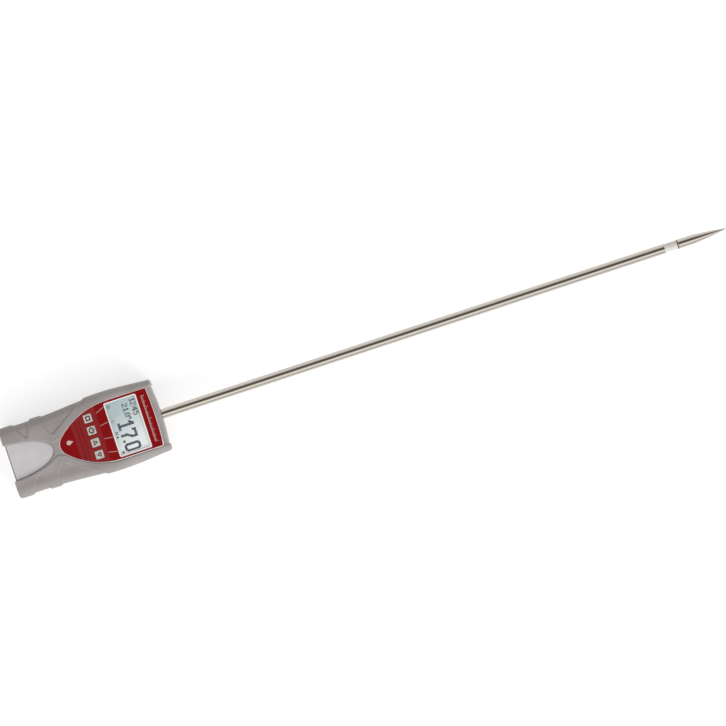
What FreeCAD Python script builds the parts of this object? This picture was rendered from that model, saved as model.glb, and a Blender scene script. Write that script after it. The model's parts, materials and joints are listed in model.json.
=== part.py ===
"""Hand-held moisture meter with a long insertion probe, in millimetres.

Frame: the origin is on the flat back of the rubber boot, X runs across the meter, +Y towards the
probe's tip and +Z out of the display. The meter lies on its back.

Bodies: a two-part plastic housing in a rubber boot, with a membrane keypad, a display, a circuit
board and four AA cells behind a sliding door. A steel tube carries the probe: a hollow core rod,
insulated from the tube, holds the pointed tip, so tube and tip are the two electrodes.
"""

import FreeCAD
import Part

import math
import os

V = FreeCAD.Vector
X_AXIS, Y_AXIS, Z_AXIS = V(1, 0, 0), V(0, 1, 0), V(0, 0, 1)

# ---- driving dimensions -------------------------------------------------------------------------

# rubber boot
BOOT_END = 81.0  # half the boot's length
BOOT_HEIGHT = 38.0
GRIP_HALF_WIDTH = 37.2  # half width along the grip
SHOULDER_BULGE = 3.7  # extra half width at the display's shoulder
SHOULDER_Y = 28.0
BULGE_BELOW, BULGE_ABOVE = 76.0, 66.0  # how far the bulge reaches each way along Y
END_ARCH_RADIUS = 900.0  # the probe end is slightly arched, the band across it more so
BAND_ARCH_RADIUS = 260.0
FAR_ARCH = 4000.0  # the other end is all but straight
SIDE_POINTS = 9  # points that each side curve runs through
BOOT_BACK_RADIUS, BOOT_FRONT_RADIUS = 4.0, 8.0
BOOT_END_ROUND, BOOT_CORNER_ROUND = 1.6, 3.5
BOOT_SIDE, BOOT_BACK, BOOT_FRONT = 3.2, 2.8, 2.7  # rubber thickness at the raised rails
RECESS_SIDE, RECESS_FACE = 1.5, 0.9  # how far the grip recesses go in
RUBBER_GAP = 0.1  # rubber to housing

# housing
WALL = 2.2
SPLIT_Z = 19.0  # where front and rear shell meet
HOUSING_END_BACK = 3.0  # housing's ends, inside the boot's ends
LIP_HEIGHT, LIP_CLEARANCE = 1.2, 0.1

# keypad outline: straight sides, side arcs, a round nose
FOIL_HALF_WIDTH = 30.6
FOIL_SIDE_Y = 32.0  # straight sides end here
FOIL_TOP_Y, FOIL_TOP_ARCH = 74.0, 1.1
FOIL_NOSE_Y = -25.7
FOIL_SIDE_RADIUS = 77.0
PLATEAU_TOP = 36.0
PLATEAU_RIM = 0.45  # plateau stands out round the foil
CIRCUIT_THICKNESS, FOIL_THICKNESS = 0.45, 0.35

# display
LENS_HALF_X, LENS_Y0, LENS_Y1 = 28.4, 28.8, 62.9
LENS_THICKNESS = 0.75
LCD_HALF_X, LCD_Y0, LCD_Y1 = 29.8, 26.2, 65.3

# keys, left to right
KEY_NAMES = ("menu", "power", "up", "down")
KEY_PITCH, KEY_Y, KEY_SIDE, KEY_GAP = 12.8, 9.5, 8.4, 0.1
KEY_THICKNESS, KEY_LIFT = 0.55, 0.05

# lower window of the boot, half an ellipse
WINDOW_HALF_WIDTH, WINDOW_LENGTH = 18.7, 48.5

# battery bay and door
CELL_RADIUS, CELL_LENGTH, CELL_PITCH, CELL_Z = 7.1, 50.5, 14.6, 12.1
NUB_RADIUS, NUB_LENGTH = 2.75, 1.0
BAY_HALF_X, BAY_TOP_Z, BAY_Y1 = 29.7, 19.8, -17.5
BAY_SKIN = 1.2
DOOR_HALF_X, DOOR_THICKNESS, DOOR_Y1 = 29.0, 2.0, -16.2
DOOR_OPENING_HALF_X = 30.2  # rear opening of the boot
CONTACT_THICKNESS = 0.4
SPRING_WIRE, SPRING_TURNS, SPRING_RADIUS, SPRING_ROOM = 0.3, 3, 4.0, 2.8

# probe
PROBE_Z = 19.0
TUBE_RADIUS, SHANK_RADIUS, TUBE_BORE = 5.0, 4.75, 4.2
TUBE_Y0, TUBE_Y1 = 42.0, 618.2
SHANK_END_Y = 81.3
CORE_RADIUS, CORE_BORE, CORE_CLEARANCE = 2.0, 1.0, 0.1
CORE_Y0, CORE_Y1 = 36.0, 643.5
SPIGOT_Y0 = 605.4
INSULATOR_RADIUS, INSULATOR_Y1 = 4.65, 631.6
SEAL_RADIUS, SEAL_Y1 = 4.7, 632.6
TIP_RADIUS, TIP_TAPER_Y, TIP_Y1 = 4.82, 648.0, 684.5

# board
BOARD_Z0, BOARD_Z1 = 25.4, 27.0
BOARD_HALF_X, BOARD_Y0, BOARD_Y1 = 30.0, -19.0, 73.0
BOARD_SCREWS = [(-14.5, 70.3), (14.5, 70.3), (-18.0, -15.0), (18.0, -15.0)]
SHELL_SCREWS = [(-27.5, 71.0), (27.5, 71.0), (-27.5, -9.0), (27.5, -9.0)]

FRONT_WALL_INSIDE = BOOT_HEIGHT - BOOT_FRONT - WALL
BACK_WALL_INSIDE = BOOT_BACK + WALL
CIRCUIT_TOP = PLATEAU_TOP + CIRCUIT_THICKNESS
FOIL_TOP = CIRCUIT_TOP + FOIL_THICKNESS
KEY_BOTTOM = CIRCUIT_TOP + KEY_LIFT
KEY_XS = [(i - 1.5) * KEY_PITCH for i in range(4)]
CELL_XS = [(i - 1.5) * CELL_PITCH for i in range(4)]
BAY_Y0 = -BOOT_END + HOUSING_END_BACK + WALL + 0.15
CELL_Y0 = (BAY_Y0 + BAY_Y1 - CELL_LENGTH) / 2


# ---- shape helpers ------------------------------------------------------------------------------


def box(x0, x1, y0, y1, z0, z1):
    return Part.makeBox(x1 - x0, y1 - y0, z1 - z0, V(x0, y0, z0))


def slab(half_x, y0, y1, z0, z1, corner=0.0):
    """A box centred on X, with its upright edges rounded."""
    solid = box(-half_x, half_x, y0, y1, z0, z1)
    return round_upright(solid, corner) if corner else solid


def round_upright(solid, radius):
    edges = [e for e in solid.Edges if is_upright(e)]
    return solid.makeFillet(radius, edges)


def is_upright(edge):
    start, end = edge.Vertexes[0].Point, edge.Vertexes[-1].Point
    along = end - start
    return abs(along.z) > 1e-6 and abs(along.x) + abs(along.y) < 1e-6


def pillar(radius, x, y, z0, z1):
    return Part.makeCylinder(radius, z1 - z0, V(x, y, z0), Z_AXIS)


def along_y(radius, y0, y1, x=0.0, z=PROBE_Z):
    return Part.makeCylinder(radius, y1 - y0, V(x, y0, z), Y_AXIS)


def ring_y(outer, inner, y0, y1, x=0.0, z=PROBE_Z):
    return along_y(outer, y0, y1, x, z).cut(along_y(inner, y0 - 1, y1 + 1, x, z))


def prism(points, z0, z1):
    """An upright prism on a closed outline of (x, y) points."""
    corners = [V(x, y, z0) for x, y in points]
    face = Part.Face(Part.makePolygon(corners + corners[:1]))
    return face.extrude(V(0, 0, z1 - z0))


def both_sides(solid):
    """The solid and its mirror image across the YZ plane."""
    return [solid, solid.mirror(V(0, 0, 0), X_AXIS)]


def fuse_all(solids):
    first, rest = solids[0], list(solids[1:])
    return (first.multiFuse(rest) if rest else first).removeSplitter()


def cut_all(solid, tools):
    return solid.cut(Part.makeCompound(list(tools)))


def half_width(y):
    """Half the boot's width at y: parallel along the grip, bulging at the shoulder."""
    reach = BULGE_BELOW if y < SHOULDER_Y else BULGE_ABOVE
    share = min(1.0, abs(y - SHOULDER_Y) / reach)
    return GRIP_HALF_WIDTH + SHOULDER_BULGE * math.cos(share * math.pi / 2) ** 2


def side_curve(inset, y0, y1, side, z):
    """One long side of the meter's plan outline, at a distance inside the boot's."""
    ys = [y0 + (y1 - y0) * i / (SIDE_POINTS - 1) for i in range(SIDE_POINTS)]
    curve = Part.BSplineCurve()
    curve.interpolate([V(side * (half_width(y) - inset), y, z) for y in ys])
    return curve.toShape()


def end_disc(end_y, arch, z0, z1, rim):
    """A wide disc whose edge makes one end of the meter: arched in plan, with rounded edges."""
    towards = 1 if end_y > 0 else -1
    disc = Part.makeCylinder(arch, z1 - z0, V(0, end_y - towards * arch, z0), Z_AXIS)
    return disc.makeFillet(rim, [e for e in disc.Edges if e.Closed]) if rim else disc


def meter_body(inset, z0, z1, y0, y1, back_radius, front_radius, arch=END_ARCH_RADIUS, rim=0.0):
    """A solid that follows the boot's outline at a distance, with rounded long edges."""
    low, high = y0 - 1, y1 + 1
    right = side_curve(inset, low, high, 1, z0)
    left = side_curve(inset, low, high, -1, z0)
    ends = [
        Part.LineSegment(left.Vertexes[i].Point, right.Vertexes[i].Point).toShape() for i in (0, 1)
    ]
    outline = Part.Wire(Part.sortEdges([right, left] + ends)[0])
    block = Part.Face(outline).extrude(V(0, 0, z1 - z0))
    for z, radius in ((z0, back_radius), (z1, front_radius)):
        edges = [e for e in block.Edges if runs_along(e, z)]
        block = block.makeFillet(radius, edges)
    return block.common(end_disc(y1, arch, z0, z1, rim)).common(end_disc(y0, FAR_ARCH, z0, z1, rim))


def runs_along(edge, z):
    """True for a long side edge at height z."""
    start, end = edge.Vertexes[0].Point, edge.Vertexes[-1].Point
    level = abs(start.z - z) < 1e-6 and abs(end.z - z) < 1e-6
    return level and abs(start.y - end.y) > 50


def corner_cutters(radius):
    """Tools that round the boot's four upright corners."""
    tools = []
    for end, drop in ((BOOT_END, 0.6), (-BOOT_END, -0.1)):
        toward = 1 if end > 0 else -1
        x, y = half_width(end) - radius, end - drop - toward * radius
        y0, y1 = sorted((y, y + toward * 9))
        corner = box(x, x + 9, y0, y1, -1, BOOT_HEIGHT + 1).cut(pillar(radius, x, y, -2, 50))
        tools += both_sides(corner)
    return tools


def foil_outline(offset, z0, z1):
    """The keypad's outline as a prism: an arched top, straight sides, side arcs and a round nose."""
    half, side_y, big = FOIL_HALF_WIDTH, FOIL_SIDE_Y, FOIL_SIDE_RADIUS
    across, down = big - half, side_y - FOIL_NOSE_Y
    nose = (big**2 - across**2 - down**2) / (2 * (big - down))  # tangent to both side arcs
    nose_y = FOIL_NOSE_Y + nose
    toward = V(across, nose_y - side_y, 0).normalize()  # from a side arc's centre to the nose's
    touch = V(0, nose_y, 0) + toward * (nose + offset)
    half_way = (toward + X_AXIS).normalize()
    side_centre = V(-across, side_y, 0)
    side_middle = side_centre + half_way * (big + offset)
    wide, top_y = half + offset, FOIL_TOP_Y + offset

    def at(point, mirror=1):
        return V(point.x * mirror, point.y, z0)

    top_left, top_right = V(-wide, top_y, z0), V(wide, top_y, z0)
    side_top = V(wide, side_y, 0)
    edges = [
        Part.Arc(top_left, V(0, top_y + FOIL_TOP_ARCH, z0), top_right),
        Part.LineSegment(top_right, at(side_top)),
        Part.Arc(at(side_top), at(side_middle), at(touch)),
        Part.Arc(at(touch), V(0, FOIL_NOSE_Y - offset, z0), at(touch, -1)),
        Part.Arc(at(touch, -1), at(side_middle, -1), at(side_top, -1)),
        Part.LineSegment(at(side_top, -1), top_left),
    ]
    face = Part.Face(Part.Wire([e.toShape() for e in edges]))
    return face.extrude(V(0, 0, z1 - z0))


def wire_run(points, radius, bend):
    """A round wire along straight runs joined by tangent arcs of one bend radius."""
    corners = [V(*p) for p in points]
    edges, start = [], corners[0]
    for before, corner, after in zip(corners, corners[1:], corners[2:]):
        back = (before - corner).normalize()
        onward = (after - corner).normalize()
        half_angle = math.acos(max(-1.0, min(1.0, back.dot(onward)))) / 2
        trim = bend / math.tan(half_angle)
        first, last = corner + back * trim, corner + onward * trim
        inward = (back + onward).normalize()
        middle = corner + inward * (bend / math.sin(half_angle) - bend)
        edges.append(Part.LineSegment(start, first).toShape())
        edges.append(Part.Arc(first, middle, last).toShape())
        start = last
    edges.append(Part.LineSegment(start, corners[-1]).toShape())
    path = Part.Wire(edges)
    profile = Part.Wire([Part.Circle(corners[0], corners[1] - corners[0], radius).toShape()])
    return path.makePipeShell([profile], True, False)


# ---- rubber boot --------------------------------------------------------------------------------

UPPER_RECESS = [
    (50, 12), (41, 11), (36.6, 4.1), (25.5, -12.8), (15.6, -28.4),
    (18.7, -31.9), (24.2, -35), (34.2, -36.4), (50, -36.8),
]
LOWER_RECESS = [
    (50, -48), (35.6, -48.4), (21.8, -53.4), (20.4, -55.3), (21.8, -57.4), (35.6, -66.9), (50, -67.3),
]
RAIL = [
    (30.5, 90), (30.5, 70), (8, -15), (8.8, -22.5), (5.6, -29.2), (8.5, -38), (8.5, -90), (50, -90),
    (50, 90),
]


def boot_full():
    """The boot at its full thickness."""
    body = meter_body(
        0, 0, BOOT_HEIGHT, -BOOT_END, BOOT_END, BOOT_BACK_RADIUS, BOOT_FRONT_RADIUS,
        rim=BOOT_END_ROUND,
    )
    return cut_all(body, corner_cutters(BOOT_CORNER_ROUND))


def boot_recessed():
    """The boot at the level of the grip recesses and of the band across the probe end."""
    body = meter_body(
        RECESS_SIDE, RECESS_FACE, BOOT_HEIGHT - RECESS_FACE, -BOOT_END + 1.0, BOOT_END - 0.1,
        BOOT_BACK_RADIUS - 0.5, BOOT_FRONT_RADIUS - 0.8, BAND_ARCH_RADIUS, BOOT_END_ROUND,
    )
    return cut_all(body, corner_cutters(BOOT_CORNER_ROUND))


def grip_recesses(z0, z1):
    """The three-sided recesses on both sides of the grip."""
    return [s for outline in (UPPER_RECESS, LOWER_RECESS) for s in both_sides(prism(outline, z0, z1))]


def raised_regions():
    """Where the boot has its full thickness: the rails in front, and behind them all but the
    recesses and the end band."""
    top = BOOT_HEIGHT + 2
    rails = [cut_all(rail, grip_recesses(0, top)) for rail in both_sides(prism(RAIL, SPLIT_Z, top))]
    end_band = box(-RAIL[0][0], RAIL[0][0], BOOT_END - 4.5, 90, -2, SPLIT_Z + 1)
    behind = box(-50, 50, -90, 90, -1, SPLIT_Z)
    behind = cut_all(behind, grip_recesses(-2, SPLIT_Z + 1) + [end_band])
    return rails + [behind]


def lower_window(z0, z1):
    """The front window over the grip, open at the lower end."""
    tip, side = V(0, -BOOT_END + WINDOW_LENGTH, z0), V(WINDOW_HALF_WIDTH, -BOOT_END, z0)
    ellipse = Part.Ellipse(tip, side, V(0, -BOOT_END, z0))
    return Part.Face(Part.Wire([ellipse.toShape()])).extrude(V(0, 0, z1 - z0))


def rubber_boot():
    full = boot_full()
    raised = [full.common(region) for region in raised_regions()]
    body = fuse_all([boot_recessed()] + raised)
    above = BOOT_HEIGHT + 5
    openings = [
        housing_block(RUBBER_GAP),
        foil_outline(PLATEAU_RIM + 0.25, SPLIT_Z, above),
        lower_window(SPLIT_Z, above),
        round_upright(
            box(-DOOR_OPENING_HALF_X, DOOR_OPENING_HALF_X, -BOOT_END - 9, -14, -1, SPLIT_Z), 4.0
        ),
        slab(22, 18, 62, -1, SPLIT_Z, 3.0),
        along_y(TUBE_RADIUS + 0.5, BOOT_END - 9, BOOT_END + 5),
    ]
    return cut_all(body, openings)


# ---- housing ------------------------------------------------------------------------------------


def housing_block(grow=0.0):
    """The closed outside of the housing, or the boot's hollow when it grows by the gap."""
    end = BOOT_END - HOUSING_END_BACK + grow
    return meter_body(
        BOOT_SIDE - grow, BOOT_BACK - grow, BOOT_HEIGHT - BOOT_FRONT + grow, -end, end, 3.0, 5.5
    )


def housing_hollow():
    end = BOOT_END - HOUSING_END_BACK - WALL
    return meter_body(BOOT_SIDE + WALL, BACK_WALL_INSIDE, FRONT_WALL_INSIDE, -end, end, 1.5, 2.0)


def lip_block(inset, height):
    """A block across the split, at a distance inside the housing, from which the lip is made."""
    end = BOOT_END - HOUSING_END_BACK - inset
    return meter_body(BOOT_SIDE + inset, SPLIT_Z - 8, SPLIT_Z + height, -end, end, 1.0, 0.3)


def above_split():
    return box(-60, 60, -100, 100, SPLIT_Z, 60)


def below_split():
    return box(-60, 60, -100, 100, -20, SPLIT_Z)


def probe_passage():
    """The bore round the probe's shank and the groove for its seal, in both shells."""
    bore = along_y(SHANK_RADIUS + 0.2, 60, BOOT_END)
    groove = along_y(7.5, 69.7, 72.3)
    return [bore, groove]


def probe_boss():
    return along_y(9.0, 66, BOOT_END - HOUSING_END_BACK - 1)


def display_pocket():
    """Behind the window in the front wall: room for the panel, and the window itself."""
    panel_room = slab(
        LCD_HALF_X + 0.3, LCD_Y0 - 0.3, LCD_Y1 + 0.3, FRONT_WALL_INSIDE - 1, PLATEAU_TOP - 1.1
    )
    window = slab(LENS_HALF_X - 0.8, LENS_Y0 + 0.8, LENS_Y1 - 0.8, 34, PLATEAU_TOP + 1, 1.0)
    return [panel_room, window]


def front_shell():
    outside = housing_block().common(above_split())
    plateau = foil_outline(PLATEAU_RIM, FRONT_WALL_INSIDE + 1, PLATEAU_TOP)
    shell = outside.fuse(plateau).cut(housing_hollow())
    bosses = [pillar(2.6, x, y, BOARD_Z1, FRONT_WALL_INSIDE + 0.5) for x, y in BOARD_SCREWS]
    bosses += [pillar(3.4, x, y, SPLIT_Z + 0.1, FRONT_WALL_INSIDE + 0.5) for x, y in SHELL_SCREWS]
    bosses.append(probe_boss().common(above_split()))
    holes = [pillar(1.25, x, y, BOARD_Z1 - 1, 31.5) for x, y in BOARD_SCREWS]
    holes += [pillar(1.55, x, y, SPLIT_Z - 1, 29) for x, y in SHELL_SCREWS]
    tail_slot = box(-5.3, 5.3, -13.5, -12.5, FRONT_WALL_INSIDE - 1, PLATEAU_TOP + 1)
    lip_outside = lip_block(WALL / 2 - LIP_CLEARANCE, LIP_HEIGHT + LIP_CLEARANCE)
    lip_room = lip_outside.cut(lip_block(WALL + LIP_CLEARANCE, 5)).common(above_split())
    holes += probe_passage() + display_pocket() + [tail_slot, lip_room]
    return cut_all(fuse_all([shell] + bosses), holes)


def battery_bay():
    """Side walls, end wall and ceiling of the bay, standing on the back wall."""
    outer = box(
        -BAY_HALF_X - BAY_SKIN, BAY_HALF_X + BAY_SKIN, BAY_Y0 - 0.5, BAY_Y1 + BAY_SKIN,
        BACK_WALL_INSIDE - 0.3, BAY_TOP_Z + 1.4,
    )
    inner = box(-BAY_HALF_X, BAY_HALF_X, BAY_Y0 - 1, BAY_Y1, 0, BAY_TOP_Z)
    front_wall_room = box(-60, 60, -100, BAY_Y0 + 0.1, SPLIT_Z, 30)
    return outer.cut(inner).cut(front_wall_room)


def door_opening():
    """The opening in the back wall, the grooves for the door's tongues and the latch pocket."""
    end = -BOOT_END
    through = box(-DOOR_HALF_X - 0.2, DOOR_HALF_X + 0.2, end, DOOR_Y1 + 0.2, 0, BACK_WALL_INSIDE + 0.1)
    grooves = box(
        -DOOR_HALF_X - 1.3, DOOR_HALF_X + 1.3, end, DOOR_Y1 + 0.2,
        BOOT_BACK + 0.8, BOOT_BACK + DOOR_THICKNESS + 0.1,
    )
    latch_pocket = box(-6.3, 6.3, DOOR_Y1, DOOR_Y1 + 2.3, BOOT_BACK + 1.1, BACK_WALL_INSIDE + 0.2)
    return [through, grooves, latch_pocket]


def clamp_saddle():
    return slab(14, 50, 60, BACK_WALL_INSIDE - 0.3, SPLIT_Z - 0.2)


def rear_shell():
    shell = housing_block().common(below_split()).cut(housing_hollow())
    lip = lip_block(WALL / 2, LIP_HEIGHT).cut(housing_hollow())
    lip = lip.common(box(-60, 60, -100, 100, SPLIT_Z - 1, 30))
    posts = [pillar(4.2, x, y, BACK_WALL_INSIDE - 0.3, SPLIT_Z - 0.1) for x, y in SHELL_SCREWS]
    boss = probe_boss().common(below_split())
    holes = [pillar(1.7, x, y, 0, SPLIT_Z + 1) for x, y in SHELL_SCREWS]
    holes += [pillar(3.2, x, y, 0, 6.0) for x, y in SHELL_SCREWS]
    holes += [pillar(1.5, x, 55, 8, SPLIT_Z + 1) for x in (-10.5, 10.5)]
    holes.append(along_y(SHANK_RADIUS + 0.05, 48, 61))
    slots = [box(x - 1.3, x + 1.3, BAY_Y1 - 1, BAY_Y1 + 2, 14.8, 16.7) for x in (CELL_XS[0], CELL_XS[3])]
    body = fuse_all([shell, lip, battery_bay(), clamp_saddle(), boss] + posts)
    return cut_all(body, holes + slots + probe_passage() + door_opening())


def battery_door():
    end = -BOOT_END
    top = BOOT_BACK + DOOR_THICKNESS
    plate = box(-DOOR_HALF_X, DOOR_HALF_X, end, DOOR_Y1, 0, top)
    tongue_half = DOOR_HALF_X + 1.1
    tongues = box(-tongue_half, tongue_half, end, DOOR_Y1 - 0.2, BOOT_BACK + 0.95, top - 0.05)
    door = plate.fuse(tongues).common(housing_block())
    latch = box(-6, 6, DOOR_Y1 - 1, DOOR_Y1 + 2, BOOT_BACK + 1.25, top)
    grip_lines = [slab(9, y, y + 1.2, 0, BOOT_BACK + 0.5) for y in (-46, -43.5, -41, -38.5)]
    arrow = prism([(-4, -52), (4, -52), (0, -58)], 0, BOOT_BACK + 0.4)
    return cut_all(fuse_all([door, latch]), grip_lines + [arrow])


def shell_screws():
    """Countersunk from the back, one in each corner post."""
    screws = []
    for x, y in SHELL_SCREWS:
        head = pillar(2.8, x, y, 3.6, 6.0).cut(pillar(1.2, x, y, 3.0, 4.8))
        screws.append(head.fuse(pillar(1.45, x, y, 6.0, 27.0)))
    return Part.makeCompound(screws)


def type_plate():
    """A blank label in the boot's rear window."""
    return slab(20, 20, 60, BOOT_BACK - 0.25, BOOT_BACK, 1.5)


# ---- keypad and display -------------------------------------------------------------------------


def key_holes(side, z0, z1, corner):
    holes = []
    for x in KEY_XS:
        hole = box(x - side / 2, x + side / 2, KEY_Y - side / 2, KEY_Y + side / 2, z0, z1)
        holes.append(round_upright(hole, corner))
    return holes


def lens_hole(z0, z1):
    return slab(LENS_HALF_X + 0.1, LENS_Y0 - 0.1, LENS_Y1 + 0.1, z0, z1, 1.6)


def keypad_overlay():
    foil = foil_outline(0, CIRCUIT_TOP, FOIL_TOP)
    holes = key_holes(KEY_SIDE + 2 * KEY_GAP, PLATEAU_TOP, FOIL_TOP + 1, 0.7)
    return cut_all(foil, holes + [lens_hole(PLATEAU_TOP, FOIL_TOP + 1)])


def keypad_circuit():
    sheet = foil_outline(-0.6, PLATEAU_TOP, CIRCUIT_TOP)
    holes = key_holes(KEY_SIDE + 1.0, PLATEAU_TOP - 1, FOIL_TOP, 0.8)
    return cut_all(sheet, holes + [lens_hole(PLATEAU_TOP - 1, FOIL_TOP)])


def keypad_tail():
    """The ribbon from the keypad's circuit layer down to its socket on the board."""
    return box(-5, 5, -13.15, -12.85, 29.4, PLATEAU_TOP)


def key_pad(x):
    side = KEY_SIDE / 2
    pad = box(x - side, x + side, KEY_Y - side, KEY_Y + side, KEY_BOTTOM, KEY_BOTTOM + KEY_THICKNESS)
    return round_upright(pad, 0.6)


def snap_dome(x):
    """A thin steel dome under a key, from its rim on the plateau to just under the key."""
    base = PLATEAU_TOP + 0.01
    profile = [(0, 0.36), (2.2, 0.33), (3.9, 0), (4.1, 0), (4.1, 0.1), (2.3, 0.44), (0, 0.47)]
    points = [V(x + r, KEY_Y, base + z) for r, z in profile]
    face = Part.Face(Part.makePolygon(points + points[:1]))
    return face.revolve(V(x, KEY_Y, 0), Z_AXIS, 360)


def display_lens():
    return slab(LENS_HALF_X, LENS_Y0, LENS_Y1, PLATEAU_TOP, PLATEAU_TOP + LENS_THICKNESS, 1.5)


def lcd_panel():
    """Two glass plates, the rear one longer for the contacts along its lower edge."""
    rear = slab(LCD_HALF_X, LCD_Y0, LCD_Y1, 33.0, 33.9)
    front = slab(LCD_HALF_X, LCD_Y0 + 2.0, LCD_Y1, 33.9, 34.8)
    return rear.fuse(front).removeSplitter()


def lcd_backlight():
    return slab(LCD_HALF_X, LCD_Y0, LCD_Y1, 29.6, 32.9)


def lcd_frame():
    """An open tray that carries the backlight and the panel."""
    tray = slab(31.0, 25.0, 66.6, 28.4, 33.0, 0.8)
    return tray.cut(slab(LCD_HALF_X + 0.1, LCD_Y0 - 0.1, LCD_Y1 + 0.1, 29.5, 35))


def lcd_pins():
    pins = [box(x - 0.25, x + 0.25, 23.2, 23.7, BOARD_Z1, 31.2) for x in range(-19, 20, 2)]
    bars = [slab(20, 22.6, 24.4, BOARD_Z1, 29.0).cut(Part.makeCompound(pins))]
    return Part.makeCompound(pins + bars)


# ---- electronics --------------------------------------------------------------------------------


def main_board():
    board = slab(BOARD_HALF_X, BOARD_Y0, BOARD_Y1, BOARD_Z0, BOARD_Z1, 1.5)
    cuts = [pillar(1.3, x, y, 20, 30) for x, y in BOARD_SCREWS]
    cuts += [pillar(4.8, x, y, 20, 30) for x, y in SHELL_SCREWS]
    cuts.append(slab(10, 65.5, 80, 20, 30))
    return cut_all(board, cuts)


def board_screws():
    screws = []
    for x, y in BOARD_SCREWS:
        screws.append(pillar(2.2, x, y, 23.9, BOARD_Z0).fuse(pillar(1.1, x, y, BOARD_Z0, 31.0)))
    return Part.makeCompound(screws)


def microcontroller():
    return round_upright(box(6, 18, -6, 6, BOARD_Z1, BOARD_Z1 + 1.5), 0.6)


def board_components():
    """Capacitors, a crystal and small chips on the front of the board."""
    chips = [(-24, 14, 5, 4, 1.6), (-10, 13, 6, 5, 1.2), (22, 13, 5, 6, 1.4), (-25, 2, 3, 6, 1.8)]
    solids = [box(x, x + w, y, y + d, BOARD_Z1, BOARD_Z1 + h) for x, y, w, d, h in chips]
    for i in range(6):
        x = -8.0 + 2.2 * i
        solids.append(box(x, x + 1.2, 6.5, 8.5, BOARD_Z1, BOARD_Z1 + 0.8))
    solids.append(pillar(3.2, 24.0, 4.0, BOARD_Z1, BOARD_Z1 + 5.0))
    solids.append(box(-4, 3, -2, 2, BOARD_Z1, BOARD_Z1 + 3.0))
    return Part.makeCompound(solids)


def sounder():
    return pillar(5.0, -15.0, -5.0, BOARD_Z1, BOARD_Z1 + 4.5).cut(pillar(0.9, -15.0, -5.0, 30, 33))


def keypad_socket():
    socket = slab(7, -15.0, -11.0, BOARD_Z1, 29.6)
    return socket.cut(box(-5.1, 5.1, -13.25, -12.75, 29.3, 30))


def socket_below(half_x, y0, y1):
    """A white wire-to-board socket under the board."""
    return slab(half_x, y0, y1, 21.4, BOARD_Z0)


# ---- cells and contacts -------------------------------------------------------------------------


def nub_up(index):
    return index % 2 == 0


def cell(index):
    """An AA cell, its button towards the probe in every other place."""
    x, y0, y1 = CELL_XS[index], CELL_Y0, CELL_Y0 + CELL_LENGTH
    if nub_up(index):
        can, nub = (y0, y1 - NUB_LENGTH), (y1 - NUB_LENGTH - 0.5, y1)
    else:
        can, nub = (y0 + NUB_LENGTH, y1), (y0, y0 + NUB_LENGTH + 0.5)
    body = along_y(CELL_RADIUS, can[0], can[1], x, CELL_Z)
    return body.fuse(along_y(NUB_RADIUS, nub[0], nub[1], x, CELL_Z)).removeSplitter()


def contact_plate(x0, x1, at_top):
    y0 = BAY_Y1 - CONTACT_THICKNESS if at_top else BAY_Y0
    return box(x0, x1, y0, y0 + CONTACT_THICKNESS, CELL_Z - 5, CELL_Z + 5)


def contact_button(index):
    """The raised button that meets a cell's nub."""
    x = CELL_XS[index]
    if nub_up(index):
        return along_y(2.2, CELL_Y0 + CELL_LENGTH, BAY_Y1 - CONTACT_THICKNESS / 2, x, CELL_Z)
    return along_y(2.2, BAY_Y0 + CONTACT_THICKNESS / 2, CELL_Y0, x, CELL_Z)


def battery_contacts():
    """Plates that put the four cells in series; the outer two have solder tabs through the wall."""
    reach = 5.0
    solids = []
    for first, last, at_top in ((0, 0, True), (1, 2, True), (3, 3, True), (0, 1, False), (2, 3, False)):
        plate = contact_plate(CELL_XS[first] - reach, CELL_XS[last] + reach, at_top)
        buttons = [contact_button(i) for i in range(first, last + 1) if nub_up(i) == at_top]
        if at_top and first == last:
            x = CELL_XS[first]
            buttons.append(box(x - 1, x + 1, BAY_Y1 - CONTACT_THICKNESS, -14, 15.1, 16.4))
        solids.append(fuse_all([plate] + buttons) if buttons else plate)
    return Part.makeCompound(solids)


def battery_spring(index):
    """A conical spring at a cell's flat end, its small coil against the cell."""
    steps = SPRING_TURNS * 16
    points = []
    for i in range(steps + 1):
        share = i / steps
        angle = 2 * math.pi * SPRING_TURNS * share
        radius = SPRING_RADIUS - 1.1 * share
        points.append(V(radius * math.cos(angle), radius * math.sin(angle), SPRING_ROOM * share))
    curve = Part.BSplineCurve()
    curve.interpolate(points)
    start = curve.tangent(curve.FirstParameter)[0]
    profile = Part.Wire([Part.Circle(points[0], start, SPRING_WIRE).toShape()])
    spring = Part.Wire([curve.toShape()]).makePipeShell([profile], True, True)
    up = nub_up(index)
    spring.rotate(V(0, 0, 0), X_AXIS, -90 if up else 90)
    seat = CONTACT_THICKNESS + SPRING_WIRE
    spring.translate(V(CELL_XS[index], BAY_Y0 + seat if up else BAY_Y1 - seat, CELL_Z))
    return spring


def battery_springs():
    return Part.makeCompound([battery_spring(i) for i in range(4)])


def battery_wires():
    """From the two solder tabs to the socket under the board."""
    wires = []
    for side in (-1, 1):
        tab_x = side * CELL_XS[3]
        route = [(tab_x, -14, 15.75), (tab_x, -6, 15.75), (side * 10, 4, 21), (side * 2, 4, 23.4)]
        wires.append(wire_run(route + [(side * 2, -2, 23.4)], 0.6, 2.0))
    return Part.makeCompound(wires)


# ---- probe --------------------------------------------------------------------------------------


def probe_tube():
    shank = along_y(SHANK_RADIUS, TUBE_Y0, SHANK_END_Y)
    tube = along_y(TUBE_RADIUS, SHANK_END_Y, TUBE_Y1)
    return shank.fuse(tube).cut(along_y(TUBE_BORE, TUBE_Y0 - 1, TUBE_Y1 + 1))


def core_rod():
    return ring_y(CORE_RADIUS, CORE_BORE, CORE_Y0, CORE_Y1)


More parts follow.
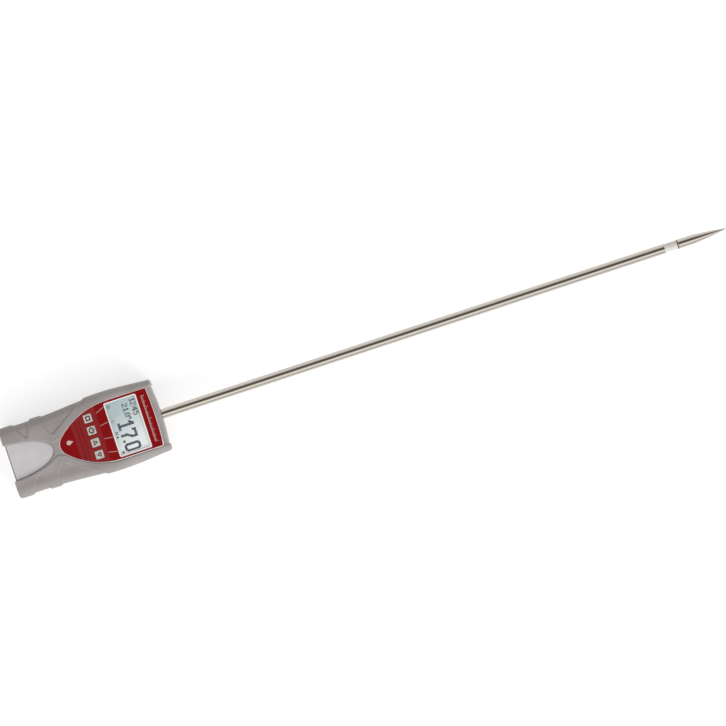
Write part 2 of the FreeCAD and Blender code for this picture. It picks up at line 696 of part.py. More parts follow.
def core_sleeve():
    return ring_y(TUBE_BORE - 0.1, CORE_RADIUS + CORE_CLEARANCE, TUBE_Y0 + 0.2, SPIGOT_Y0 - 0.2)


def tip_insulator():
    """A plastic ring between tube and tip, with a spigot that centres it in the tube."""
    spigot = along_y(TUBE_BORE - 0.1, SPIGOT_Y0, TUBE_Y1)
    collar = along_y(INSULATOR_RADIUS, TUBE_Y1, INSULATOR_Y1)
    return spigot.fuse(collar).cut(along_y(CORE_RADIUS + CORE_CLEARANCE, SPIGOT_Y0 - 1, INSULATOR_Y1 + 1))


def tip_seal():
    return ring_y(SEAL_RADIUS, CORE_RADIUS + CORE_CLEARANCE, INSULATOR_Y1, SEAL_Y1)


def probe_tip():
    """A cylinder that tapers in a slightly rounded cone to a blunted point, bored for the core."""
    blunt = 0.35
    bulge = V(TIP_RADIUS * 0.62, (TIP_TAPER_Y + TIP_Y1) / 2 + 1.0, 0)
    axis_start, axis_end = V(0, SEAL_Y1, 0), V(0, TIP_Y1, 0)
    base, shoulder = V(TIP_RADIUS, SEAL_Y1, 0), V(TIP_RADIUS, TIP_TAPER_Y, 0)
    point = V(blunt, TIP_Y1 - blunt, 0)
    edges = [
        Part.LineSegment(axis_start, base).toShape(),
        Part.LineSegment(base, shoulder).toShape(),
        Part.Arc(shoulder, bulge, point).toShape(),
        Part.LineSegment(point, axis_end).toShape(),
        Part.LineSegment(axis_end, axis_start).toShape(),
    ]
    solid = Part.Face(Part.Wire(edges)).revolve(V(0, 0, 0), Y_AXIS, 360)
    solid.translate(V(0, 0, PROBE_Z))
    return solid.cut(along_y(CORE_RADIUS + CORE_CLEARANCE, SEAL_Y1 - 1, CORE_Y1 + 10))


def temperature_sensor():
    return along_y(0.9, CORE_Y1 + 0.6, CORE_Y1 + 8)


def sensor_cable():
    route = [(0, CORE_Y1 + 0.5, PROBE_Z), (0, 25, PROBE_Z), (0, 20.5, 23.4), (0, 16, 23.4)]
    return wire_run(route, 0.5, 3.0)


def tube_collar():
    """Carries the push and pull on the probe, between the saddle and the boss."""
    return ring_y(6.1, SHANK_RADIUS + 0.05, 61.2, 65.2)


def tube_seal():
    ring = Part.makeTorus(6.2, 1.14)
    ring.rotate(V(0, 0, 0), X_AXIS, 90)
    ring.translate(V(0, 71, PROBE_Z))
    return ring


def probe_clamp():
    """A strap over the shank, screwed to the rear shell's saddle."""
    ears = slab(14, 50, 60, SPLIT_Z + 0.2, SPLIT_Z + 3.2)
    crown = along_y(6.1, 50, 60).common(above_split()).cut(slab(14, 49, 61, SPLIT_Z, SPLIT_Z + 0.2))
    holes = [pillar(1.6, x, 55, SPLIT_Z, SPLIT_Z + 6) for x in (-10.5, 10.5)]
    return cut_all(fuse_all([ears, crown]), holes + [along_y(SHANK_RADIUS + 0.05, 49, 61)])


def clamp_screws():
    ear_top = SPLIT_Z + 3.2
    screws = []
    for x in (-10.5, 10.5):
        head = pillar(2.7, x, 55, ear_top, ear_top + 2.2).cut(pillar(1.2, x, 55, ear_top + 1, ear_top + 3))
        screws.append(head.fuse(pillar(1.45, x, 55, 9, ear_top)))
    return Part.makeCompound(screws)


def core_washer():
    return ring_y(4.8, CORE_RADIUS + CORE_CLEARANCE, TUBE_Y0 - 1, TUBE_Y0)


def core_nut():
    flats, y0 = 7.0, 37.2
    corner = flats / 2 / math.cos(math.pi / 6)
    points = []
    for i in range(6):
        angle = i * math.pi / 3
        points.append(V(corner * math.cos(angle), y0, PROBE_Z + corner * math.sin(angle)))
    face = Part.Face(Part.makePolygon(points + points[:1]))
    return face.extrude(V(0, 3, 0)).cut(along_y(CORE_RADIUS + CORE_CLEARANCE, 30, 45))


def signal_lug():
    """A ring terminal under the core nut, its barrel beside the nut."""
    ring = along_y(3.9, 40.2, 41)
    bridge = box(2, 5.5, 40.2, 41, PROBE_Z - 1, PROBE_Z + 1)
    barrel = along_y(1.1, 34, 41, 5.5)
    return fuse_all([ring, bridge, barrel]).cut(along_y(CORE_RADIUS + CORE_CLEARANCE, 30, 45))


def ground_clip():
    """A sprung ring round the tube's inner end, its barrel beside it."""
    ring = along_y(5.9, 44, 46)
    barrel = along_y(1.1, 37, 46, -6.8)
    return ring.fuse(barrel).removeSplitter().cut(along_y(SHANK_RADIUS + 0.05, 30, 50))


def signal_wire():
    route = [(5.5, 34, PROBE_Z), (5.5, 26, PROBE_Z), (5, 20.5, 23.4), (5, 16, 23.4)]
    return wire_run(route, 0.6, 3.0)


def ground_wire():
    route = [(-6.8, 37, PROBE_Z), (-6.8, 26, PROBE_Z), (-5, 20.5, 23.4), (-5, 16, 23.4)]
    return wire_run(route, 0.6, 3.0)


# ---- nodes --------------------------------------------------------------------------------------

NODES = {
    "rubber_boot": rubber_boot,
    "front_shell": front_shell,
    "rear_shell": rear_shell,
    "battery_door": battery_door,
    "shell_screws": shell_screws,
    "type_plate": type_plate,
    "keypad_overlay": keypad_overlay,
    "keypad_circuit": keypad_circuit,
    "keypad_tail": keypad_tail,
    "keypad_socket": keypad_socket,
    "display_lens": display_lens,
    "lcd_panel": lcd_panel,
    "lcd_backlight": lcd_backlight,
    "lcd_frame": lcd_frame,
    "lcd_pins": lcd_pins,
    "main_board": main_board,
    "board_screws": board_screws,
    "microcontroller": microcontroller,
    "board_components": board_components,
    "sounder": sounder,
    "probe_socket": lambda: socket_below(7, 10, 16),
    "battery_socket": lambda: socket_below(4, -8, -2),
    "battery_contacts": battery_contacts,
    "battery_springs": battery_springs,
    "battery_wires": battery_wires,
    "probe_tube": probe_tube,
    "core_rod": core_rod,
    "core_sleeve": core_sleeve,
    "tip_insulator": tip_insulator,
    "tip_seal": tip_seal,
    "probe_tip": probe_tip,
    "temperature_sensor": temperature_sensor,
    "sensor_cable": sensor_cable,
    "tube_collar": tube_collar,
    "tube_seal": tube_seal,
    "probe_clamp": probe_clamp,
    "clamp_screws": clamp_screws,
    "core_washer": core_washer,
    "core_nut": core_nut,
    "signal_lug": signal_lug,
    "ground_clip": ground_clip,
    "signal_wire": signal_wire,
    "ground_wire": ground_wire,
}
for name, x in zip(KEY_NAMES, KEY_XS):
    NODES["key_" + name] = lambda x=x: key_pad(x)
    NODES["snap_dome_" + name] = lambda x=x: snap_dome(x)
for i in range(4):
    NODES["cell_" + str(i + 1)] = lambda i=i: cell(i)


def main():
    os.makedirs("parts", exist_ok=True)
    for name, make in NODES.items():
        shape = make()
        solids = shape.Solids
        sound = shape.isValid() and all(s.Volume > 0 for s in solids)
        print(f"{name:20s} {len(solids):3d} solids {shape.Volume / 1000:9.3f} cm3 valid {sound}")
        shape.exportStep("parts/" + name + ".step")


main()
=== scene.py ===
"""Looks of a hand-held moisture meter with a long insertion probe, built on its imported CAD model.

Frame: X across the meter, +Y along the probe, +Z out of the display. Shapes are worked out in
millimetres and stored in metres.
"""

import json
import math

import bmesh
import bpy
import numpy as np
from mathutils import Matrix, Vector


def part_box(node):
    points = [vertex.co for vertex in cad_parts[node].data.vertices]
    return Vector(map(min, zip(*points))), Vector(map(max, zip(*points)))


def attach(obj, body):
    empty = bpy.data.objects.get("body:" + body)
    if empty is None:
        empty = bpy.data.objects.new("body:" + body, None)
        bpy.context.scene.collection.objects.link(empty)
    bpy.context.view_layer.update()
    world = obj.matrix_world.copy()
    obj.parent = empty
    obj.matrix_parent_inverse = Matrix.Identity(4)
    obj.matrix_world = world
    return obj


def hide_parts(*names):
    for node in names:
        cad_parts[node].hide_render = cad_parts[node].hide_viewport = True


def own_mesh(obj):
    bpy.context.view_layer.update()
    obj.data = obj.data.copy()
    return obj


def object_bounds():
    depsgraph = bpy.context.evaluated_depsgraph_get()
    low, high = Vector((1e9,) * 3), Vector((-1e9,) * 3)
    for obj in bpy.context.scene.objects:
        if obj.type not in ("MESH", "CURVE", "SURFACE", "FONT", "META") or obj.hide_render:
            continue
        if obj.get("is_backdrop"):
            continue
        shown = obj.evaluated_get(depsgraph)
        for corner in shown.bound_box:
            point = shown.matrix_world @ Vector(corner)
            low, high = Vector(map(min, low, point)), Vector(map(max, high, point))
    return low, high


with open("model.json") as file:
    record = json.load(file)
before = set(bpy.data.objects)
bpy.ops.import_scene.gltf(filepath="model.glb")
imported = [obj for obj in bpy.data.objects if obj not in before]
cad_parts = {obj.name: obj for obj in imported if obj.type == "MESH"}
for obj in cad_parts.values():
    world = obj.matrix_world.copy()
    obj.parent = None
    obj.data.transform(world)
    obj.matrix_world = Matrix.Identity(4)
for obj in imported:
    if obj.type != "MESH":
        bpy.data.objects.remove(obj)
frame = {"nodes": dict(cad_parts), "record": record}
cad_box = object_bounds()
NODES = frame["nodes"]
MM = 0.001
DOT = 0.42  # pitch of the display's dots
PROBE_Z = 19.0

# ---- colours ------------------------------------------------------------------------------------


def srgb(red, green, blue):
    """Linear colour from 0-255 display values."""
    values = []
    for value in (red, green, blue):
        share = value / 255
        values.append(share / 12.92 if share <= 0.04045 else ((share + 0.055) / 1.055) ** 2.4)
    return tuple(values)


# ---- materials ----------------------------------------------------------------------------------


class Paint:
    """A Principled material and short ways to add procedural detail, in object coordinates."""

    def __init__(self, name, **constants):
        self.material = bpy.data.materials.new(name)
        self.material.use_nodes = True
        self.tree = self.material.node_tree
        self.shader = self.tree.nodes["Principled BSDF"]
        self.coordinates = self.add("ShaderNodeTexCoord").outputs["Object"]
        for key, value in constants.items():
            socket = key.replace("_", " ").title().replace("Ior", "IOR")
            self.shader.inputs[socket].default_value = value

    def add(self, kind, **settings):
        node = self.tree.nodes.new(kind)
        for key, value in settings.items():
            setattr(node, key, value)
        return node

    def link(self, source, target):
        if hasattr(source, "is_output"):
            self.tree.links.new(source, target)
        elif isinstance(source, tuple):
            target.default_value = (*source, 1.0)
        else:
            target.default_value = source

    def scaled(self, scale):
        node = self.add("ShaderNodeMapping")
        self.tree.links.new(self.coordinates, node.inputs["Vector"])
        node.inputs["Scale"].default_value = scale
        return node.outputs["Vector"]

    def noise(self, scale, detail=3.0, roughness=0.55):
        """Noise with features of about 1/scale metres; scale may be different along each axis."""
        node = self.add("ShaderNodeTexNoise")
        scale = scale if isinstance(scale, tuple) else (scale,) * 3
        self.tree.links.new(self.scaled(scale), node.inputs["Vector"])
        node.inputs["Scale"].default_value = 1.0
        node.inputs["Detail"].default_value = detail
        node.inputs["Roughness"].default_value = roughness
        return node.outputs["Fac"]

    def cells(self, scale):
        node = self.add("ShaderNodeTexVoronoi")
        self.tree.links.new(self.scaled((scale,) * 3), node.inputs["Vector"])
        node.inputs["Scale"].default_value = 1.0
        return node.outputs["Distance"]

    def axis(self, which):
        node = self.add("ShaderNodeSeparateXYZ")
        self.tree.links.new(self.coordinates, node.inputs["Vector"])
        return node.outputs[which]

    def math(self, operation, *values):
        node = self.add("ShaderNodeMath", operation=operation)
        for value, socket in zip(values, node.inputs):
            self.link(value, socket)
        return node.outputs["Value"]

    def spread(self, value, low, high, to_low=0.0, to_high=1.0):
        """Maps low..high smoothly onto to_low..to_high."""
        node = self.add("ShaderNodeMapRange", interpolation_type="SMOOTHSTEP")
        names = ("Value", "From Min", "From Max", "To Min", "To Max")
        for source, name in zip((value, low, high, to_low, to_high), names):
            self.link(source, node.inputs[name])
        return node.outputs["Result"]

    def mix(self, share, first, second):
        node = self.add("ShaderNodeMix", data_type="RGBA")
        for source, socket in ((share, 0), (first, 6), (second, 7)):
            self.link(source, node.inputs[socket])
        return node.outputs[2]

    def bump(self, height, depth_mm, strength=1.0):
        node = self.add("ShaderNodeBump")
        node.inputs["Strength"].default_value = strength
        node.inputs["Distance"].default_value = depth_mm * MM
        self.link(height, node.inputs["Height"])
        self.tree.links.new(node.outputs["Normal"], self.shader.inputs["Normal"])

    def set(self, socket, source):
        self.link(source, self.shader.inputs[socket])


def moulded(name, light, dark, roughness=0.45, grain=3500.0, depth_mm=0.012, patch=60.0):
    """Moulded plastic or rubber: a spark-eroded grain, slight patches and an uneven gloss."""
    paint = Paint(name)
    cloud = paint.noise(patch, 4.0)
    grit = paint.noise(grain, 2.0)
    shade = paint.math("ADD", paint.math("MULTIPLY", cloud, 0.75), paint.math("MULTIPLY", grit, 0.25))
    paint.set("Base Color", paint.mix(paint.spread(shade, 0.38, 0.62), dark, light))
    paint.set("Roughness", paint.spread(cloud, 0.35, 0.65, roughness - 0.06, roughness + 0.08))
    paint.bump(grit, depth_mm)
    return paint.material


def metal(name, light, dark, roughness=0.22, along=(2500.0, 25.0, 2500.0), depth_mm=0.002):
    """Metal with fine working marks; the marks are long where the scale is small."""
    paint = Paint(name, metallic=1.0)
    marks = paint.noise(along, 4.0, 0.7)
    haze = paint.noise(35.0, 3.0)
    paint.set("Base Color", paint.mix(paint.spread(marks, 0.3, 0.7), dark, light))
    paint.set("Roughness", paint.spread(haze, 0.3, 0.7, roughness * 0.75, roughness * 1.3))
    paint.bump(marks, depth_mm)
    return paint.material


def rubber_paint():
    """Soft-touch elastomer; the sides of the grip carry painted shade: a darker colour with a
    stronger grain.
    """
    paint = Paint("boot_rubber")
    cloud = paint.noise(28.0, 5.0)
    grit = paint.noise(4200.0, 2.0)
    pits = paint.cells(1700.0)
    shade = paint.math("ADD", paint.math("MULTIPLY", cloud, 0.7), paint.math("MULTIPLY", grit, 0.3))
    body = paint.mix(paint.spread(shade, 0.36, 0.64), srgb(149, 144, 141), srgb(163, 158, 156))
    # painted shade: beyond |X| 18 mm and below Y 26 mm the grip's sides are made darker, standing for
    # shading on them
    flank_shade_colour = paint.mix(grit, srgb(128, 122, 118), srgb(146, 140, 137))
    flank = paint.spread(paint.math("ABSOLUTE", paint.axis("X")), 18 * MM, 27 * MM, 0.0, 0.5)
    grip = paint.spread(paint.axis("Y"), 2 * MM, 26 * MM, 1.0, 0.0)
    paint.set("Base Color", paint.mix(paint.math("MULTIPLY", flank, grip), body, flank_shade_colour))
    paint.set("Roughness", paint.spread(cloud, 0.3, 0.7, 0.5, 0.64))
    paint.bump(paint.math("ADD", grit, paint.math("MULTIPLY", pits, 0.5)), 0.02)
    return paint.material


def foil_paint():
    """Red printed foil; a greyer band with faint darker stripes lies round the keys."""
    paint = Paint("foil_red", roughness=0.4, specular_ior_level=0.12)
    y = paint.axis("Y")
    below = paint.spread(y, -9.6 * MM, -8.8 * MM)
    above = paint.spread(y, 18.3 * MM, 19.1 * MM, 1.0, 0.0)
    band = paint.math("MULTIPLY", below, above)
    red = paint.mix(paint.noise(90.0, 4.0), srgb(126, 2, 8), srgb(140, 8, 12))
    muted = paint.mix(paint.noise(140.0, 4.0), srgb(130, 30, 34), srgb(142, 40, 42))
    stripes = 0.0
    for middle in (-0.4, -4.3):
        distance = paint.math("ABSOLUTE", paint.math("ADD", y, -middle * MM))
        line = paint.spread(distance, 0.5 * MM, 1.2 * MM, 1.0, 0.0)
        stripes = paint.math("ADD", stripes, line)
    inside = paint.spread(paint.math("ABSOLUTE", paint.axis("X")), 18 * MM, 21 * MM, 0.75, 0.0)
    muted = paint.mix(paint.math("MULTIPLY", stripes, inside), muted, srgb(124, 14, 18))
    paint.set("Base Color", paint.mix(band, red, muted))
    paint.bump(paint.noise(2600.0, 2.0), 0.006)
    return paint.material


def key_paint():
    """Silver print with fine flakes."""
    paint = Paint("key_silver", roughness=0.42, metallic=0.15)
    flakes = paint.cells(5200.0)
    tone = paint.mix(paint.spread(flakes, 0.1, 0.7), srgb(202, 206, 200), srgb(184, 190, 184))
    paint.set("Base Color", tone)
    paint.bump(flakes, 0.004)
    return paint.material


def display_paint():
    """The display's reflector, with the faint grid of its dots; greyer at the lower left and brighter
    at the upper right, a painted gradient of light, and lightened by a faint painted glow.
    """
    # the faint emission is a painted glow that lightens the reflector
    paint = Paint(
        "lcd_glass", roughness=0.3, emission_color=(0.8, 0.92, 0.92, 1.0), emission_strength=0.05
    )
    # painted light: the reflector's colour goes from grey at the lower left to near white at the
    # upper right
    across = paint.math("ADD", paint.axis("X"), paint.math("MULTIPLY", paint.axis("Y"), 0.5))
    slope = paint.spread(across, -6 * MM, 62 * MM)
    painted_light_gradient = paint.mix(slope, srgb(166, 182, 186), srgb(252, 254, 253))
    grid = 0.0
    for which in "XY":
        phase = paint.math("FRACT", paint.math("MULTIPLY", paint.axis(which), 1 / (DOT * MM)))
        line = paint.math("LESS_THAN", phase, 0.12)
        grid = paint.math("MAXIMUM", grid, line)
    cloud = paint.spread(paint.noise(120.0, 3.0), 0.3, 0.7, 0.0, 0.2)
    mottle = paint.mix(cloud, painted_light_gradient, srgb(214, 226, 221))
    grid_share = paint.math("MULTIPLY", grid, 0.1)
    paint.set("Base Color", paint.mix(grid_share, mottle, srgb(150, 168, 168)))
    return paint.material


def ink(name, light, dark, roughness=0.5):
    """Printed ink with a slightly uneven lay-down."""
    paint = Paint(name, roughness=roughness, specular_ior_level=0.2)
    paint.set("Base Color", paint.mix(paint.spread(paint.noise(1800.0, 3.0), 0.3, 0.7), dark, light))
    paint.bump(paint.noise(4000.0, 2.0), 0.003)
    return paint.material


def lens_paint():
    paint = Paint("lens_clear", roughness=0.06, alpha=0.05, ior=1.45, specular_ior_level=0.25)
    paint.set("Base Color", paint.mix(paint.noise(50.0), srgb(214, 226, 224), srgb(226, 236, 234)))
    return paint.material


def board_paint():
    """Green solder mask over copper tracks."""
    paint = Paint("board_green", roughness=0.3)
    tracks = paint.add("ShaderNodeTexBrick", offset=0.37)
    paint.tree.links.new(paint.scaled((260.0, 190.0, 1.0)), tracks.inputs["Vector"])
    tracks.inputs["Scale"].default_value = 1.0
    tracks.inputs["Mortar Size"].default_value = 0.06
    paint.set("Base Color", paint.mix(tracks.outputs["Fac"], srgb(22, 78, 46), srgb(58, 122, 70)))
    paint.bump(tracks.outputs["Fac"], 0.02)
    return paint.material


def cell_paint():
    """Battery sleeve: dark print with a copper-coloured band at one end."""
    paint = Paint("cell_sleeve", roughness=0.28, metallic=0.35)
    y = paint.axis("Y")
    band = paint.spread(y, -34.4 * MM, -34.0 * MM)
    dark = paint.mix(paint.noise(200.0, 3.0), srgb(32, 34, 40), srgb(46, 48, 56))
    copper = paint.mix(paint.noise(300.0, 3.0), srgb(168, 108, 60), srgb(190, 130, 78))
    paint.set("Base Color", paint.mix(band, dark, copper))
    return paint.material


PAINTS = {
    "boot_rubber": rubber_paint(),
    "foil_red": foil_paint(),
    "key_silver": key_paint(),
    "lcd_glass": display_paint(),
    "lens_clear": lens_paint(),
    "board_green": board_paint(),
    "cell_sleeve": cell_paint(),
    "housing_plastic": moulded(
        "housing_plastic", srgb(204, 199, 202), srgb(198, 193, 196), 0.5, 3000.0
    ),
    "circuit_film": moulded("circuit_film", srgb(214, 208, 190), srgb(202, 196, 178), 0.35),
    "diffuser_white": moulded("diffuser_white", srgb(238, 240, 240), srgb(228, 230, 232), 0.5),
    "frame_black": moulded("frame_black", srgb(38, 38, 40), srgb(26, 26, 28), 0.5),
    "chip_black": moulded("chip_black", srgb(36, 36, 38), srgb(24, 24, 26), 0.55),
    "socket_white": moulded("socket_white", srgb(230, 226, 212), srgb(218, 213, 198), 0.45),
    "wire_red": moulded("wire_red", srgb(160, 34, 28), srgb(140, 26, 22), 0.4),
    "wire_black": moulded("wire_black", srgb(34, 34, 36), srgb(24, 24, 26), 0.4),
    "sleeve_plastic": moulded("sleeve_plastic", srgb(236, 234, 228), srgb(224, 222, 215), 0.4),
    "insulator_white": moulded(
        "insulator_white", srgb(222, 218, 210), srgb(210, 205, 196), 0.32, 1500.0, 0.004
    ),
    "seal_black": moulded("seal_black", srgb(50, 47, 46), srgb(36, 34, 34), 0.6),
    "label_silver": moulded(
        "label_silver", srgb(204, 206, 208), srgb(199, 201, 204), 0.38, 2500.0, 0.004
    ),
    "dome_steel": metal("dome_steel", srgb(206, 205, 202), srgb(186, 185, 182), 0.2),
    "pin_gold": metal("pin_gold", srgb(224, 192, 120), srgb(204, 170, 98), 0.25),
    "screw_steel": metal("screw_steel", srgb(188, 188, 190), srgb(158, 158, 160), 0.3),
    "contact_nickel": metal("contact_nickel", srgb(204, 199, 188), srgb(182, 176, 164), 0.25),
    "tube_steel": metal("tube_steel", srgb(203, 197, 188), srgb(189, 182, 172), 0.1, depth_mm=0.001),
    "core_steel": metal("core_steel", srgb(196, 194, 190), srgb(176, 174, 170), 0.28),
    "sensor_steel": metal("sensor_steel", srgb(184, 184, 186), srgb(164, 164, 166), 0.25),
    "lug_brass": metal("lug_brass", srgb(208, 182, 122), srgb(186, 158, 98), 0.3),
}
LCD_INK = ink("lcd_ink", srgb(34, 30, 78), srgb(20, 20, 44))
KEY_INK = ink("key_ink", srgb(104, 4, 26), srgb(82, 2, 20))
LINE_INK = ink("line_ink", srgb(168, 150, 140), srgb(150, 128, 120))
SILVER_INK = ink("silver_ink", srgb(208, 190, 188), srgb(190, 168, 166), 0.35)
WHITE_INK = ink("white_ink", srgb(240, 243, 243), srgb(232, 236, 236), 0.3)
# the keypad rim's plastic is painted whiter than the housing: a painted highlight along the keypad's
# edge
RIM_HIGHLIGHT_WHITE = moulded("rim_highlight_white", srgb(244, 242, 240), srgb(236, 233, 231), 0.35, 3000.0, 0.004)

for part in frame["record"]["subparts"]:
    node = NODES[part["node"]]
    node.data.materials.clear()
    node.data.materials.append(PAINTS[part["material_slot"]])

# ---- meshes -------------------------------------------------------------------------------------


def make_piece(name, mesh, paint, body, slot=None, replaces=(), smooth=30.0):
    piece = bpy.data.objects.new(name, mesh)
    bpy.context.scene.collection.objects.link(piece)
    mesh.materials.append(paint)
    if smooth:
        mesh.shade_smooth()
        mesh.set_sharp_from_angle(angle=math.radians(smooth))
    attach(piece, body)
    if replaces:
        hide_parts(*replaces)
    return piece


def finish_mesh(name, bm):
    mesh = bpy.data.meshes.new(name)
    bmesh.ops.recalc_face_normals(bm, faces=bm.faces)
    bm.to_mesh(mesh)
    bm.free()
    return mesh


def loft(bm, loops, closed=False):
    """Joins loops of points, in mm, that have the same count; caps the ends unless closed."""
    rings = [[bm.verts.new(Vector(p) * MM) for p in points] for points in loops]
    pairs = list(zip(rings, rings[1:])) + ([(rings[-1], rings[0])] if closed else [])
    for low, high in pairs:
        for i in range(len(low)):
            j = (i + 1) % len(low)
            bm.faces.new((low[i], low[j], high[j], high[i]))
    if not closed:
        bm.faces.new(rings[0][::-1])
        bm.faces.new(rings[-1])


def at_height(points, z):
    return [(x, y, z) for x, y in points]


def slab(bm, points, z0, z1):
    loft(bm, [at_height(points, z0), at_height(points, z1)])


def frame_slab(bm, outer, inner, z0, z1):
    """A flat ring between two outlines with the same count of points."""
    loops = [at_height(outer, z0), at_height(outer, z1), at_height(inner, z1), at_height(inner, z0)]
    loft(bm, loops, closed=True)


def circle(x, y, radius, count=48, start=0.0, sweep=2 * math.pi):
    steps = count if sweep > 6.28 else count - 1
    angles = [start + sweep * i / steps for i in range(count)]
    return [(x + radius * math.cos(a), y + radius * math.sin(a)) for a in angles]


def rounded_rectangle(x, y, half_x, half_y, radius, steps=6):
    points = []
    for corner, (sx, sy) in enumerate(((1, 1), (-1, 1), (-1, -1), (1, -1))):
        cx, cy = x + sx * (half_x - radius), y + sy * (half_y - radius)
        for i in range(steps + 1):
            a = math.pi / 2 * (corner + i / steps)
            points.append((cx + radius * math.cos(a), cy + radius * math.sin(a)))
    return points


def lathe(name, profile, count=96):
    """A closed profile of (radius, y) turned round the probe's axis."""
    bm = bmesh.new()
    loops = []
    for i in range(count):
        a = 2 * math.pi * i / count
        loops.append([(r * math.cos(a), y, PROBE_Z + r * math.sin(a)) for r, y in profile])
    loft(bm, loops, closed=True)
    return finish_mesh(name, bm)


# ---- rubber boot, from a distance field ---------------------------------------------------------

GRIP_HALF_WIDTH, SHOULDER_BULGE, SHOULDER_Y = 37.2, 3.66, 28.0
BULGE_BELOW, BULGE_ABOVE = 76.0, 66.0  # how far the bulge reaches each way along Y
BOOT_HEIGHT, BOOT_END, MIDDLE_Z = 38.0, 80.94, 19.0
BOOT_BACK_RADIUS, BOOT_FRONT_RADIUS, GRIP_CROWN = 4.0, 8.0, 2.2
LOWERED_BACK, LOWERED_FRONT, LOWERED_SIDE = 1.1, 36.9, 1.5  # the recesses' level
HOLLOW_BACK, HOLLOW_FRONT, HOLLOW_SIDE, HOLLOW_END = 2.7, 35.4, 3.1, 78.1
END_ARCH, LOWERED_ARCH = 900.0, 260.0  # radii of the probe end's arches in plan
FOIL_HALF, FOIL_SIDE_Y, FOIL_SIDE_RADIUS, FOIL_NOSE_Y = 30.6, 32.0, 77.0, -25.7
FOIL_TOP_Y, FOIL_TOP_RADIUS, FOIL_CORNER = 75.1, 426.0, 1.0
HOUSING_TOP = 35.3
WINDOW_X, WINDOW_Y, WINDOW_END = 18.7, 48.5, -81.0  # half an ellipse, and its middle's Y
BACK_OPENINGS = ((0, -60, 30.2, 46, 4.0), (0, 40, 22, 22, 3.0))  # battery door, label
PROBE_OPENING = 5.5

# plan outlines on one side of the boot: x, y and the corner's size

UPPER_RECESS = [
    (55, 12.5, 0), (41, 11.5, 3), (36.6, 4.1, 3), (25.5, -12.8, 0), (15.2, -29.0, 1.6),
    (19.2, -32.4, 3), (24.4, -35.2, 3), (34.2, -36.6, 3), (55, -37.0, 0),
]
LOWER_RECESS = [
    (55, -48, 0), (35.6, -48.6, 3), (20.2, -54.4, 1.4), (20.6, -56.4, 1.2), (35.6, -66.6, 3),
    (55, -67.3, 0),
]
RAIL = [
    (30.5, 95, 0), (30.5, 66, 0), (8, -10, 0), (9.0, -23.0, 2), (6.1, -30.2, 1.6), (8.4, -34.6, 3),
    (11.4, -39.2, 3), (14.6, -48, 3), (15.6, -60, 0), (8.5, -95, 0), (55, -95, 0), (55, 95, 0),
]


ARC_STEPS = 6


def half_width(y):
    reach = np.where(y < SHOULDER_Y, BULGE_BELOW, BULGE_ABOVE)
    share = np.minimum(1.0, np.abs(y - SHOULDER_Y) / reach)
    return GRIP_HALF_WIDTH + SHOULDER_BULGE * np.cos(share * np.pi / 2) ** 2


def meet(a, b, radius):
    """Where two solids overlap, with the edge between them rounded."""
    over = np.hypot(np.maximum(a + radius, 0), np.maximum(b + radius, 0))
    return np.minimum(-radius, np.maximum(a, b)) + over


def join(a, b, radius):
    """Two solids together, with a fillet between them."""
    return -meet(-a, -b, radius)


def section(x, z, half, z0, z1, back, front):
    """Distance to a rounded rectangle with its own radius at the back and the front."""
    middle = (z0 + z1) / 2
    radius = np.where(z < middle, back, front)
    across = np.abs(x) - half + radius
    up = np.abs(z - middle) - (z1 - z0) / 2 + radius
    outside = np.hypot(np.maximum(across, 0), np.maximum(up, 0))
    return outside + np.minimum(np.maximum(across, up), 0) - radius


def with_round_corners(corners):
    """A polygon's points, with arcs cut from parabolas at the corners that have a radius."""
    points = []
    for i, (x, y, radius) in enumerate(corners):
        here = Vector((x, y))
        if not radius:
            points.append(here)
            continue
        before = Vector(corners[i - 1][:2])
        after = Vector(corners[(i + 1) % len(corners)][:2])
        start = here + (before - here).normalized() * radius
        end = here + (after - here).normalized() * radius
        for j in range(ARC_STEPS + 1):
            t = j / ARC_STEPS
            points.append(start * (1 - t) ** 2 + here * 2 * t * (1 - t) + end * t**2)
    return np.array([tuple(p) for p in points])


def polygon(x, y, corners):
    """Signed distance to a polygon in plan."""
    nearest = np.full(np.broadcast(x, y).shape, 1e9, np.float32)
    inside = np.zeros(nearest.shape, bool)
    for (ax, ay), (bx, by) in zip(corners, np.roll(corners, -1, axis=0)):
        ex, ey = bx - ax, by - ay
        t = np.clip(((x - ax) * ex + (y - ay) * ey) / (ex * ex + ey * ey), 0, 1)
        nearest = np.minimum(nearest, (x - ax - t * ex) ** 2 + (y - ay - t * ey) ** 2)
        if ay != by:
            inside ^= ((ay > y) != (by > y)) & (x < ax + (y - ay) * ex / ey)
    return np.where(inside, -1.0, 1.0) * np.sqrt(nearest)


def foil_outline(x, y):
    """Signed distance to the keypad's outline in plan."""
    across, down = FOIL_SIDE_RADIUS - FOIL_HALF, FOIL_SIDE_Y - FOIL_NOSE_Y
    nose = (FOIL_SIDE_RADIUS**2 - across**2 - down**2) / (2 * (FOIL_SIDE_RADIUS - down))
    nose_y = FOIL_NOSE_Y + nose
    side = np.abs(x)
    arc = np.hypot(side + across, y - FOIL_SIDE_Y) - FOIL_SIDE_RADIUS
    past_touch = across * (y - FOIL_SIDE_Y) - (nose_y - FOIL_SIDE_Y) * (side + across) < 0
    lower = np.where(past_touch, np.hypot(side, y - nose_y) - nose, arc)
    top = np.hypot(x, y - (FOIL_TOP_Y - FOIL_TOP_RADIUS)) - FOIL_TOP_RADIUS
    return meet(np.where(y > FOIL_SIDE_Y, side - FOIL_HALF, lower), top, FOIL_CORNER)


